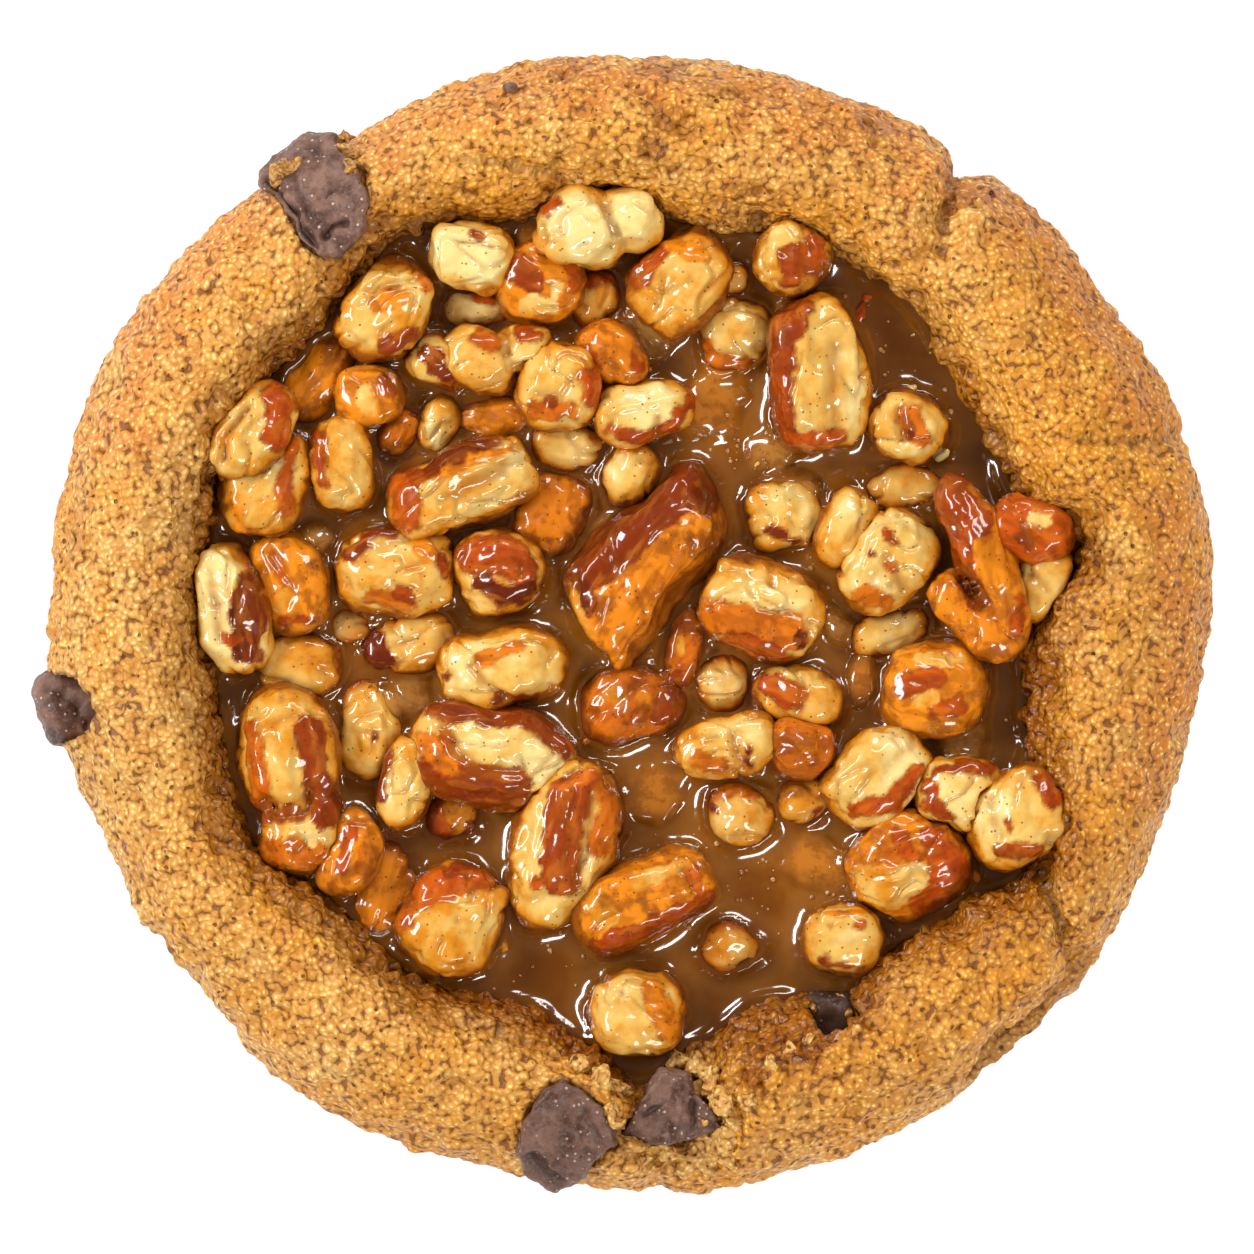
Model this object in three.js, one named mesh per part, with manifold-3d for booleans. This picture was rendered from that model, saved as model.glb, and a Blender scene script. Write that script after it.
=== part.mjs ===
// A small pecan pie in a thick cookie crust: a puffed ring of baked dough holds soft caramel,
// chopped pecans lie in and on the caramel, and chocolate chips show in the crust.
// Millimetres, +Z up. The origin is on the ground under the middle of the pie.
import * as THREE from "three";
import { mergeVertices } from "three/addons/utils/BufferGeometryUtils.js";
import Module from "manifold-3d";

// ---------- driving dimensions, mm ----------
const CRUST_RADIUS = 56.1; // widest, at mid height
const CRUST_HEIGHT = 28; // top of the crown
const CRUST_OVAL = 0.6; // the ring is this much wider than deep, each way
const BASE_RADIUS = 49;
const WIDEST_AT = 14;
const MOUTH_RADIUS = 40; // where the caramel meets the crust
const FILLING_LEVEL = 20;
const FLOOR_HEIGHT = 8; // dough under the caramel
const FLOOR_RADIUS = 32;
const GAP = 0.3; // air between two pieces that touch
const WALL_GAP = 0.4; // the same between caramel and crust
const BED_GAP = 0.6; // the same between a pecan and its bed in the caramel
const RING_STEPS = 80; // faces round the crust
const SINK = 1.8; // how deep the pecan pieces lie in the caramel

const wasm = await Module();
wasm.setup();
const { degToRad, radToDeg, lerp, smoothstep, clamp, euclideanModulo } = THREE.MathUtils;

// ---------- solids in and out of the boolean library ----------
function solidOf(geometry) {
  const bare = geometry.clone();
  bare.deleteAttribute("normal");
  bare.deleteAttribute("uv");
  const merged = mergeVertices(bare, 1e-4);
  return new wasm.Manifold(
    new wasm.Mesh({
      numProp: 3,
      vertProperties: new Float32Array(merged.attributes.position.array),
      triVerts: new Uint32Array(merged.index.array),
    }),
  );
}

function geometryOf(solid) {
  const mesh = solid.getMesh();
  const geometry = new THREE.BufferGeometry();
  geometry.setAttribute("position", new THREE.BufferAttribute(mesh.vertProperties, 3));
  geometry.setIndex(new THREE.BufferAttribute(mesh.triVerts, 1));
  geometry.computeVertexNormals();
  return geometry;
}

// A cut can leave scraps: only the largest body is kept.
function largestBody(solid) {
  const bodies = solid.decompose();
  return bodies.reduce((best, body) => (body.volume() > best.volume() ? body : best));
}

// Moves every vertex of a geometry through a function of its place.
function reshape(geometry, move) {
  const places = geometry.attributes.position;
  const point = new THREE.Vector3();
  for (let i = 0; i < places.count; i += 1) {
    point.fromBufferAttribute(places, i);
    move(point);
    places.setXYZ(i, point.x, point.y, point.z);
  }
  return geometry;
}

// ---------- the crust ----------
// The mouth isn't round: radius of the caramel's edge at each angle, degrees from +X.
const MOUTH = [
  [3, 39.5], [7, 42.8], [12, 42.8], [17, 38.6], [34, 38.5], [50, 40.8], [64, 40.2], [79, 38],
  [94, 42.2], [105, 39.9], [122, 42.8], [135, 40.8], [154, 41.7], [180, 40.5], [190, 39.8],
  [209, 41.7], [224, 38.7], [238, 39.6], [254, 37.9], [265, 40.6], [272, 43.5],
  [279, 40.8], [288, 38.5], [302, 41], [308, 39.9], [319, 41.5], [328, 45],
  [334, 44.4], [340, 40.4], [348, 38.5], [357, 37.5],
];

// Cracks and folds where the dough burst or lapped over itself: plan route, reach and depth.
// A crack stays in the top of the ring unless it is open, and then it notches the side too.
const CRACKS = [
  { route: [[33.5, 46], [30.4, 39.7], [30.2, 35.5]], reach: 3, depth: 2, open: true },
  { route: [[41, -25], [42.4, -29.5], [43.2, -32.5], [46, -34]], reach: 3.6, depth: 3.2 },
  { route: [[43, -33.5], [38.5, -39.6], [32, -45.5]], reach: 3, depth: 1.6 },
  { route: [[3.8, -43], [5, -49]], reach: 7, depth: 4.6 },
  { route: [[-1.5, -51], [3, -54], [10, -48.5]], reach: 3, depth: 1.6, open: true },
  { route: [[-17, 45], [-7, 43.2]], reach: 3, depth: 1 },
  { route: [[11.7, 37], [12.2, 41]], reach: 2.4, depth: 1.8 },
  { route: [[44, 17.5], [54, 17.8]], reach: 2.6, depth: 0.8, open: true },
  { route: [[-46.5, -31.5], [-39.5, -40.5]], reach: 2.6, depth: 0.9, open: true },
];

// Broad soft lumps of the ring: how often round the turn, height, and where the first one peaks.
const LUMPS = [
  { count: 3, height: 0.35, start: 40 },
  { count: 5, height: 0.35, start: 15 },
  { count: 8, height: 0.25, start: 8 },
  { count: 13, height: 0.18, start: 21 },
];

// Half section of the ring, as radius and height: from the ground over the crown to the mouth,
// and from the mouth down to the floor under the caramel.
const RIM_WIDTH = CRUST_RADIUS - MOUTH_RADIUS;
const OUTER_SECTION = [
  [BASE_RADIUS, 0], [52.3, 1.6], [54.4, 5], [55.7, 9.4], [CRUST_RADIUS, WIDEST_AT],
  [55.7, 18.2], [54.4, 22], [52.2, 25.1], [49.4, 27.2], [46.6, CRUST_HEIGHT],
];
const INNER_SECTION = [
  [44.2, 27.1], [42.3, 25], [41, 22.6], [MOUTH_RADIUS, FILLING_LEVEL], [FLOOR_RADIUS, FLOOR_HEIGHT],
];
const CORE = { radius: 47.5, height: 14 }; // middle of the ring's section

// The ring's faces gather at the deep cracks: where, how wide and how strongly.
const GATHER = { at: [53, 271, 322], width: 15, pull: 0.6 };

function gathered(angle) {
  let turn = angle;
  for (const centre of GATHER.at) {
    const off = euclideanModulo(angle - centre + 180, 360) - 180;
    turn -= GATHER.pull * off * Math.exp(-((off / GATHER.width) ** 2));
  }
  return turn;
}

function mouthRadius(angle) {
  const turn = euclideanModulo(angle, 360);
  const next = Math.max(0, MOUTH.findIndex(([a]) => a > turn));
  const from = MOUTH.at(next - 1);
  const to = MOUTH[next];
  const share = euclideanModulo(turn - from[0], 360) / euclideanModulo(to[0] - from[0], 360);
  return lerp(from[1], to[1], smoothstep(share, 0, 1));
}

function rimRadius(angle) {
  return CRUST_RADIUS + CRUST_OVAL * Math.cos(2 * degToRad(angle));
}

function distanceToRoute(x, y, route) {
  let least = Infinity;
  for (let i = 1; i < route.length; i += 1) {
    const [ax, ay] = route[i - 1];
    const [bx, by] = route[i];
    const length2 = (bx - ax) ** 2 + (by - ay) ** 2;
    const share = clamp(((x - ax) * (bx - ax) + (y - ay) * (by - ay)) / length2, 0, 1);
    least = Math.min(least, Math.hypot(x - lerp(ax, bx, share), y - lerp(ay, by, share)));
  }
  return least;
}

// Swells the ring by its lumps and sinks it at its cracks, along lines from the section's middle.
function raiseDough(point) {
  const angle = Math.atan2(point.y, point.x);
  const core = new THREE.Vector3(Math.cos(angle), Math.sin(angle), 0);
  core.multiplyScalar(CORE.radius).setZ(CORE.height);
  const outward = point.clone().sub(core);
  const inside = Math.hypot(point.x, point.y) < CORE.radius;
  const baked = inside
    ? smoothstep(point.z, FILLING_LEVEL + 1, FILLING_LEVEL + 5)
    : smoothstep(point.z, 1.5, 9);
  const top = inside ? baked : smoothstep(point.z, 13, 21);
  let rise = 0;
  for (const lump of LUMPS) {
    rise += baked * lump.height * Math.cos(lump.count * (angle - degToRad(lump.start)));
  }
  for (const crack of CRACKS) {
    const near = distanceToRoute(point.x, point.y, crack.route) / crack.reach;
    if (near < 1) rise -= (crack.open ? baked : top) * crack.depth * (1 - near * near) ** 2;
  }
  point.addScaledVector(outward.normalize(), rise);
}

// Puts a point of the plain round section where the uneven mouth and rim want it.
function fitToMouth(point) {
  const radius = Math.hypot(point.x, point.y);
  if (radius < 1e-6) return;
  const angle = gathered(radToDeg(Math.atan2(point.y, point.x)));
  const mouth = mouthRadius(angle);
  const rim = rimRadius(angle);
  const share = (radius - MOUTH_RADIUS) / RIM_WIDTH;
  let wanted = share < 0 ? (radius * mouth) / MOUTH_RADIUS : lerp(mouth, rim, share);
  if (point.z < WIDEST_AT && radius > CORE.radius) wanted = (radius * rim) / CRUST_RADIUS;
  point.x = wanted * Math.cos(degToRad(angle));
  point.y = wanted * Math.sin(degToRad(angle));
}

// A closed section turned once round +Z.
function turned(section, steps) {
  const points = section.map(([radius, height]) => new THREE.Vector2(radius, height));
  return new THREE.LatheGeometry(points, steps).rotateX(Math.PI / 2);
}

// The baked shell; grow thickens its inner wall and floor.
function makeCrust(grow = 0) {
  const inner = INNER_SECTION.map(([radius, height]) => [radius - grow, height]);
  inner.at(-1)[1] += grow;
  const section = [[0, 0], ...OUTER_SECTION, ...inner, [0, FLOOR_HEIGHT + grow]];
  const ring = reshape(turned(section, RING_STEPS), fitToMouth);
  return solidOf(reshape(ring, raiseDough));
}

// ---------- the caramel ----------
// A flat disc up to the caramel's level, from inside the dough; the shell is cut out of it.
function makeCaramelFill() {
  const bottom = FLOOR_HEIGHT / 2;
  const disc = [[0, bottom], [CORE.radius, bottom], [CORE.radius, FILLING_LEVEL], [0, FILLING_LEVEL]];
  return solidOf(turned(disc, RING_STEPS / 4));
}

// ---------- pecan pieces ----------
// A rounded lump with cut faces. length lies along +X before it is turned. squareness 0 is an
// egg and 1 is nearly a brick. taper narrows the +X end. Each flat is a cut face: the way it
// looks (degrees round, degrees up) and how far it lies from the middle.
function lumpGeometry(piece, grow, ball = new THREE.IcosahedronGeometry(1, piece.fine ?? 1)) {
  const { length, width, height, squareness = 0.35, taper = 0, flats = [] } = piece;
  const power = 1 - 0.55 * squareness;
  const half = new THREE.Vector3(length, width, height).multiplyScalar(0.5).addScalar(grow);
  const cuts = flats.map(([round, up, distance]) => {
    const face = new THREE.Vector3(Math.cos(degToRad(up)), 0, Math.sin(degToRad(up)));
    face.applyAxisAngle(new THREE.Vector3(0, 0, 1), degToRad(round));
    return new THREE.Plane(face, -(distance + grow));
  });
  return reshape(ball, (point) => {
    for (const axis of ["x", "y", "z"]) {
      point[axis] = Math.sign(point[axis]) * Math.abs(point[axis]) ** power;
    }
    const narrow = 1 - taper * point.x;
    point.set(point.x * half.x, point.y * half.y * narrow, point.z * half.z * narrow);
    for (const cut of cuts) {
      const over = cut.distanceToPoint(point);
      if (over > 0) point.addScaledVector(cut.normal, -over);
    }
  });
}

// One pecan piece where it lies; grow makes it that much larger all round, for its pocket.
// ball makes the unit shape that it is drawn out from.
function pecanSolid(piece, grow = 0, ball = undefined) {
  const { x, y, height, rise, turn, tilt = 0, roll = 0 } = piece;
  const geometry = lumpGeometry(piece, grow, ball?.());
  geometry.rotateX(degToRad(roll));
  geometry.rotateY(degToRad(-tilt));
  geometry.rotateZ(degToRad(turn));
  geometry.translate(x, y, FILLING_LEVEL + rise - height / 2);
  const bed = FILLING_LEVEL - SINK - grow;
  reshape(geometry, (point) => point.setZ(Math.max(point.z, bed)));
  let solid = solidOf(geometry);
  for (const lobe of piece.lobes ?? []) solid = solid.add(pecanSolid(lobe, grow, ball));
  return solid;
}

// The straight-sided bed that a piece leaves in the caramel.
const BED_SIDES = 8;
const bedShape = () => {
  const radius = 1 / Math.cos(Math.PI / BED_SIDES);
  return new THREE.CylinderGeometry(radius, radius, 2, BED_SIDES).rotateX(Math.PI / 2);
};
// The plain dome of a kernel under its skin of caramel.
const domeShape = () => new THREE.SphereGeometry(1, 7, 4).rotateX(Math.PI / 2);

// Plan place of the middle, length, width, height, turn of the long axis from +X,
// and rise of the top over the caramel; then what makes a piece itself.
function pecan(x, y, length, width, height, turn, rise, more = {}) {
  return { x, y, length, width, height, turn, rise, ...more };
}

const PECANS = [
  // the longest and broadest pieces, with their own cut faces
  pecan(1, 5.4, 22.5, 13.4, 9.6, 62, 5.6, {
    fine: 2, squareness: 0.5, tilt: 4, roll: -10,
    flats: [[-96, 12, 4.5], [68, 24, 4.6], [158, 5, 7.8], [140, 0, 7.1], [-38, 10, 8.7]],
  }),
  pecan(18.5, 24.4, 15.4, 9.2, 8, 92, 6.4, {
    fine: 2, squareness: 0.75, roll: 8,
    flats: [[180, 0, 7], [30, 20, 6.2], [-62, 15, 4.6], [90, 45, 4.6]],
  }),
  pecan(-16.1, 13.2, 15.2, 7.2, 7.6, 22, 5.8, {
    squareness: 0.6, flats: [[0, 5, 7.1], [90, 40, 3.5], [-90, 40, 3.9]],
  }),
  pecan(-13.2, -13, 17, 9.4, 8.2, -15, 6, {
    squareness: 0.35, flats: [[90, 45, 4.2], [-80, 35, 4.1]],
  }),
  pecan(-6.3, -21.7, 17.4, 10.2, 9, 68, 6.2, {
    squareness: 0.3, taper: -0.16, flats: [[100, 50, 4.7], [-60, 30, 4.9]],
  }),
  pecan(1.5, -26.9, 14.4, 7.4, 7.4, 25, 5.6, { squareness: 0.45, flats: [[-90, 20, 3.5]] }),
  pecan(-33.4, -12.5, 12.4, 9.6, 8.4, 95, 6, {
    squareness: 0.4, flats: [[180, 20, 5.6]],
    lobes: [pecan(-31.9, -20.4, 7.8, 7.4, 7.4, 100, 5.4, { squareness: 0.5 })],
  }),
  pecan(34.4, 6.2, 17.6, 4.9, 5.4, -67, 6.4, {
    squareness: 0.4, lobes: [pecan(33.4, 0.6, 10.4, 4.8, 5.2, 136, 5.6, { squareness: 0.4 })],
  }),
  pecan(-39, 1.5, 13.2, 7.8, 7.4, 105, 5.8, { squareness: 0.45, flats: [[-70, 25, 3.3]] }),
  pecan(12.9, 1, 12.4, 9, 8, -22, 5.4, { squareness: 0.4, flats: [[95, 45, 4]] }),
  pecan(-22.6, 5, 11.6, 9, 8, 0, 5, { squareness: 0.4, flats: [[80, 50, 3.9]] }),
  pecan(26.8, -23.4, 11.6, 9.8, 8.4, 35, 5.6, { squareness: 0.35, flats: [[-120, 40, 4.4]] }),
  pecan(-17.3, -29.1, 11.6, 9.6, 8.6, 60, 5.4, { squareness: 0.45, flats: [[170, 20, 5.2]] }),
  // along the top edge of the mouth
  pecan(-23.6, 30.2, 10.2, 7.8, 7.2, 60, 6, { squareness: 0.8, flats: [[-150, 10, 4.4], [30, 20, 4.4]] }),
  pecan(-15.7, 35.6, 7.8, 6.2, 6.4, -15, 6, { squareness: 0.45 }),
  pecan(-4.7, 38.2, 8.6, 7, 7, -20, 6.8, {
    squareness: 0.4, lobes: [pecan(0.2, 39.2, 5.6, 5.6, 5.4, 10, 6.2, { squareness: 0.3 })],
  }),
  pecan(-8.7, 32.7, 8.8, 7.3, 7, -20, 4.8, { squareness: 0.3 }),
  pecan(4.9, 33, 10.4, 8.6, 7.8, 50, 5.4, { squareness: 0.3, taper: 0.08 }),
  pecan(15.6, 35.7, 7.8, 6.6, 6.8, 70, 6.4, { squareness: 0.4, flats: [[-20, 30, 3.2]] }),
  // upper left
  pecan(-18.5, 25.4, 7, 4.9, 5.6, -15, 4.4, { squareness: 0.35 }),
  pecan(-14.8, 25.6, 7.8, 5.6, 6, -30, 4.8, {
    squareness: 0.25, lobes: [pecan(-10.4, 26.7, 5, 4.8, 5, 0, 4.2, { squareness: 0.3 })],
  }),
  pecan(-6.8, 22.8, 8.4, 7.8, 7.2, 80, 5.4, { squareness: 0.45 }),
  pecan(-1.7, 25.8, 7.6, 5.8, 6, -30, 4.4, { squareness: 0.3 }),
  pecan(1.5, 20.4, 9.3, 5.9, 6, 12, 4.8, { squareness: 0.35, taper: 0.12 }),
  pecan(-0.2, 14.6, 5.8, 5.2, 5.4, 60, 3.4, { squareness: 0.2 }),
  pecan(-25.5, 22.1, 6, 5.7, 5.6, 0, 4.4, { squareness: 0.4 }),
  pecan(-37, 18.5, 10.8, 6.8, 6.8, 42, 7, { squareness: 0.35, tilt: -12 }),
  pecan(-35.3, 13.7, 10.8, 7.6, 7, 75, 5, { squareness: 0.55, flats: [[-170, 10, 4.8]] }),
  pecan(-28, 15.3, 9.6, 5.8, 6.4, 95, 4.6, { squareness: 0.4 }),
  // left and middle
  pecan(-12.7, 4.8, 9, 8.3, 7.6, 0, 4.8, { squareness: 0.35, taper: 0.1 }),
  pecan(0, -8.1, 9.8, 7.3, 6.6, 10, 3, {
    squareness: 0.45, lobes: [pecan(5.3, -2.6, 7.4, 3.4, 5, 70, 2.6, { squareness: 0.3 })],
  }),
  pecan(-12.5, -4.5, 12.8, 7.4, 7, 5, 5.2, { squareness: 0.3 }),
  pecan(-27.2, -22.6, 8.8, 5.6, 6.6, 70, 5, { squareness: 0.3 }),
  pecan(-25.4, -10.8, 9.2, 6, 6, 90, 2.4, { squareness: 0.3 }),
  pecan(-21.7, -15.2, 9.4, 5, 6.2, 75, 4.4, { squareness: 0.3, taper: 0.1 }),
  pecan(-33.1, 3.9, 9.8, 6.6, 6.4, 110, 4, { squareness: 0.3 }),
  // bottom
  pecan(0.6, -38.1, 9, 8.6, 8, 0, 5.4, { squareness: 0.35, flats: [[0, 20, 4]] }),
  pecan(20.7, -30.6, 7.4, 7, 6.8, 0, 4.8, { squareness: 0.2 }),
  // right
  pecan(24.2, -14.9, 11, 8, 7.6, 38, 5.6, { squareness: 0.6, flats: [[0, 10, 5], [180, 20, 5]] }),
  pecan(31.9, -16.7, 8, 7, 7, -10, 6, { squareness: 0.5 }),
  pecan(37.7, -19.1, 10, 8.8, 7.4, 20, 6.6, { squareness: 0.5, flats: [[10, 20, 4.5]] }),
  pecan(9.6, -12.1, 10.2, 5.6, 6, 15, 4.6, { squareness: 0.3 }),
  pecan(16.8, -12, 6, 5.4, 5.6, 0, 4.4, { squareness: 0.35 }),
  pecan(16.3, -7, 8.6, 5.4, 5.6, -15, 3.6, { squareness: 0.3 }),
  pecan(29.6, -6.3, 10.2, 9, 8, -10, 5.8, { squareness: 0.35 }),
  pecan(24.9, 6, 10.8, 8, 7.4, 55, 5.4, { squareness: 0.35, taper: -0.08 }),
  pecan(21.1, 9.3, 7.6, 4.9, 5.6, 65, 4, { squareness: 0.35 }),
  pecan(15.1, 10.4, 7.3, 6.8, 6, 10, 2.2, { squareness: 0.7 }),
  pecan(26.9, 18.9, 7.4, 6.6, 6.6, -30, 4.8, { squareness: 0.4 }),
  pecan(38.8, 9.2, 7.8, 5.8, 6.4, -30, 6.6, { squareness: 0.55 }),
  pecan(40.2, 3.6, 6.8, 5.4, 5.8, 75, 4.6, { squareness: 0.4 }),
];

// Kernels under a skin of caramel: place, length, width, turn, and how high their backs stand.
const SUNK_KERNELS = [
  [-15.1, 30.8, 6.4, 3.8, 0, 1.6], [10, 33.4, 3.6, 3.2, 0, 1.8], [10.3, 28, 7.8, 7.6, 0, 2.8],
  [-3.4, 31.6, 5.6, 5, 80, 2.2], [7.8, 21, 7, 6, 80, 1], [-5.9, 17, 7.4, 5, 0, 2.4],
  [-30.2, 24, 8, 6, 70, 1.6], [-22.4, 18.5, 5.2, 4, 60, 2], [-18.8, 19, 6, 3.8, 75, 2.4],
  [-13.4, 19.6, 7.8, 4.6, 0, 2], [-7.6, 10.7, 8.6, 7.4, 60, 2.6], [-27.3, -0.5, 5, 4.4, 0, 1.4],
  [-21.3, -2, 9.6, 5.7, 10, 2.6], [-32.4, -4.3, 9, 6.6, -5, 2.6], [-16.8, -19, 5.4, 5, 0, 2.2],
  [-23.3, -26.4, 8.8, 6, 80, 1.6], [9.9, -31.8, 7, 5.2, -10, 1.8], [16.9, -17.6, 5.8, 4.8, 20, 2.4],
  [10.7, -18.8, 7, 6.6, 0, 2.4], [9.1, -6, 6, 5.8, 0, 2.2], [32.4, -11.8, 5.6, 5, 0, 1.6],
  [25.4, -1, 8, 5, 20, 2.2], [26.8, 13.2, 7.4, 4.4, 0, 1.6], [2.6, -16.6, 6, 5.8, 0, 1],
  [18.2, -23.6, 6.8, 6, 0, 0.8], [1, 28, 7.4, 5.4, 0, 1], [-30.4, 8.6, 4.4, 4, 0, 1.6],
];
const SUNK_DEPTH = 3; // how far a sunk kernel's middle lies below its back

// ---------- chocolate chips ----------
// Place of the middle, length, width, height, turn of the long axis, and how far its end is tipped up.
const CHIPS = [
  { name: "chip_top_left", at: [-30.4, 40.6, 24], size: [13.6, 8.8, 6.4], turn: 126, tilt: -30 },
  { name: "chip_left", at: [-54.2, -8.2, 14.5], size: [7.6, 7.4, 7.2], turn: 8, tilt: 0 },
  { name: "chip_bottom", at: [-6.2, -49.6, 23], size: [12, 9.4, 7.6], turn: -106, tilt: -28 },
  { name: "chip_notch", at: [4, -47.2, 23], size: [11, 7.8, 6], turn: 4, tilt: 6 },
  { name: "chip_melted", at: [19.6, -38.4, 20.8], size: [5, 4.6, 4.4], turn: 20, tilt: 0 },
];

function chipSolid(chip, grow = 0) {
  const [length, width, height] = chip.size;
  const geometry = lumpGeometry({ length, width, height, squareness: 0.45, taper: 0.1 }, grow);
  geometry.rotateY(degToRad(-chip.tilt));
  geometry.rotateZ(degToRad(chip.turn));
  geometry.translate(...chip.at);
  return solidOf(geometry);
}

// ---------- putting the pie together ----------
const overlaps = (a, b) => {
  const boxA = a.boundingBox();
  const boxB = b.boundingBox();
  return [0, 1, 2].every((k) => boxA.min[k] < boxB.max[k] && boxB.min[k] < boxA.max[k]);
};

// Cuts a pocket for each piece that the solid touches.
function fittedRound(solid, pockets) {
  let left = solid;
  for (const pocket of pockets) {
    if (overlaps(left, pocket)) left = left.subtract(pocket);
  }
  return largestBody(left);
}

const materials = {
  crust: new THREE.MeshStandardMaterial({ color: 0xd79a52, roughness: 0.9, metalness: 0 }),
  caramel: new THREE.MeshStandardMaterial({ color: 0x7a4a1c, roughness: 0.12, metalness: 0 }),
  pecan: new THREE.MeshStandardMaterial({ color: 0xd8a050, roughness: 0.2, metalness: 0 }),
  chocolate: new THREE.MeshStandardMaterial({ color: 0x6b4a40, roughness: 0.5, metalness: 0 }),
};

const pie = new THREE.Group();
function addNode(name, solid, material) {
  const mesh = new THREE.Mesh(geometryOf(solid), material);
  mesh.name = name;
  pie.add(mesh);
}

// Chips sit in pockets of the crust. Pecans that lean on its slope are pressed to it.
// Pieces that lie higher keep their shape; those under them give way.
const pockets = [];
for (const chip of CHIPS) {
  addNode(chip.name, fittedRound(chipSolid(chip), pockets), materials.chocolate);
  pockets.push(chipSolid(chip, GAP));
}
addNode("crust", fittedRound(makeCrust(), pockets), materials.crust);

pockets.push(makeCrust(WALL_GAP));
const beds = [...pockets];
const byHeight = PECANS.map((piece, i) => ({ piece, i })).sort((a, b) => b.piece.rise - a.piece.rise);
for (const { piece, i } of byHeight) {
  const name = "pecan_" + String(i + 1).padStart(2, "0");
  addNode(name, fittedRound(pecanSolid(piece), pockets), materials.pecan);
  pockets.push(pecanSolid(piece, GAP));
  beds.push(pecanSolid({ ...piece, flats: [] }, BED_GAP, bedShape));
}

let caramel = makeCaramelFill();
for (const [x, y, length, width, turn, rise] of SUNK_KERNELS) {
  const height = 2 * SUNK_DEPTH;
  const kernel = { x, y, length, width, height, turn, rise, squareness: 0.2 };
  caramel = caramel.add(pecanSolid(kernel, 0, domeShape));
}
addNode("caramel", fittedRound(caramel, beds), materials.caramel);

export default pie;
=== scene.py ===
import math

import bmesh
import bpy
import numpy as np
from mathutils import Matrix, Vector, noise
from mathutils.bvhtree import BVHTree


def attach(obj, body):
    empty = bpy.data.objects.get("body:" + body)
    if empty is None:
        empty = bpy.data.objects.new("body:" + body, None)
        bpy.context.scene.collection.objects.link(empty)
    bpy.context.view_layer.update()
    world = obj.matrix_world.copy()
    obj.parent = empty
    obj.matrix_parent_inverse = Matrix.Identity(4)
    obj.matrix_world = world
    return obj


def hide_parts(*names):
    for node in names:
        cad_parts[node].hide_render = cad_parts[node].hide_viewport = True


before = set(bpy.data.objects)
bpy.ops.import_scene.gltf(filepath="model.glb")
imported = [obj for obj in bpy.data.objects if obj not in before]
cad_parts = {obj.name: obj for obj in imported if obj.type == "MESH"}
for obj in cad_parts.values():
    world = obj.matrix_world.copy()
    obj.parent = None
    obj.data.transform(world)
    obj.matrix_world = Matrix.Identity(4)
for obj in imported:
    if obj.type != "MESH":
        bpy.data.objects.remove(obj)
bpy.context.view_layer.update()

# ---------------------------------------------------------------- crust
# A thick cup of cookie dough, pressed by hand into a round form and baked until its rim puffed
# up and browned. It is one piece of fine crumb, small beads stuck together with pinholes between
# them. The rim tore in a few places as it rose, and caramel has soaked the slope inside it.

MM = 0.001
RIM_RADIUS = 56.1
RIM_OVAL = 0.6
MOUTH_RADIUS = 40.0
WIDEST_AT = 14.0
CARAMEL_LEVEL = 20.0
CORE_RADIUS = 47.5
CORE_HEIGHT = 14.0
RING_STEPS = 900
BEAD_SIZE = 0.64
LUMP_SIZE = 2 * BEAD_SIZE
CLUMP_SIZE = 4.4 * BEAD_SIZE
CRUMB_HEIGHT = 0.2

# Radius of the caramel's edge at each angle, in degrees from +X.
MOUTH = [
    (3, 39.5), (7, 42.8), (12, 42.8), (17, 38.6), (34, 38.5), (50, 40.8), (64, 40.2), (79, 38),
    (94, 41.2), (105, 39.9), (122, 42.8), (135, 40.8), (154, 41.7), (180, 40.5), (190, 39.8),
    (209, 41.7), (224, 38.7), (238, 39.6), (254, 37.9), (265, 40.6), (271, 44.5),
    (279, 40.8), (288, 38.5), (302, 41), (308, 39.9), (319, 41.5), (328, 45),
    (334, 44.4), (340, 40.4), (348, 38.5), (357, 37.5),
]

# Tears and folds of the rim: plan route, reach and depth, and whether the side is notched too.
# Each has a broad dip and, in its middle, a narrow split of its own depth.
CRACKS = [
    ([(33.5, 46), (30.4, 39.7), (30.2, 35.5)], 3.0, 1.6, True, 0.8),
    ([(40, -24.6), (41.9, -29.3), (42.8, -32.2)], 2.6, 1.3, False, 1.5),
    ([(3.8, -43), (5, -49)], 7.0, 4.6, False, 0.6),
    ([(-1.5, -51), (3, -54), (10, -48.5)], 3.0, 1.0, True, 0.8),
    ([(-17, 45), (-7, 43.2)], 3.0, 1.0, False, 0.5),
    ([(11.4, 37.2), (12.4, 39.2)], 1.6, 0.9, False, 0.6),
    ([(44, 17.5), (54, 17.8)], 2.6, 0.6, False, 0.5),
    ([(-46.5, -31.5), (-39.5, -40.5)], 2.6, 0.9, True, 0.3),
]
# The lap low on the right: the dough inside this line has run out over the ledge outside it.
LAP = [
    (46.6, -31.4), (43, -32.2), (41.7, -35.4), (39.2, -38.1), (35.6, -40), (33.2, -43), (31.4, -45.6),
]
LEDGE = [*LAP, (20, -70), (70, -20)]
LAP_DROP = 3.4
LAP_SWELL = 0.9
SPLIT_WIDTH = 0.85

# Broad soft swells of the ring: how often round the turn, height, and where the first one peaks.
RING_SWELLS = [(3, 0.35, 40), (5, 0.35, 15), (8, 0.25, 8), (13, 0.18, 21)]

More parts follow.
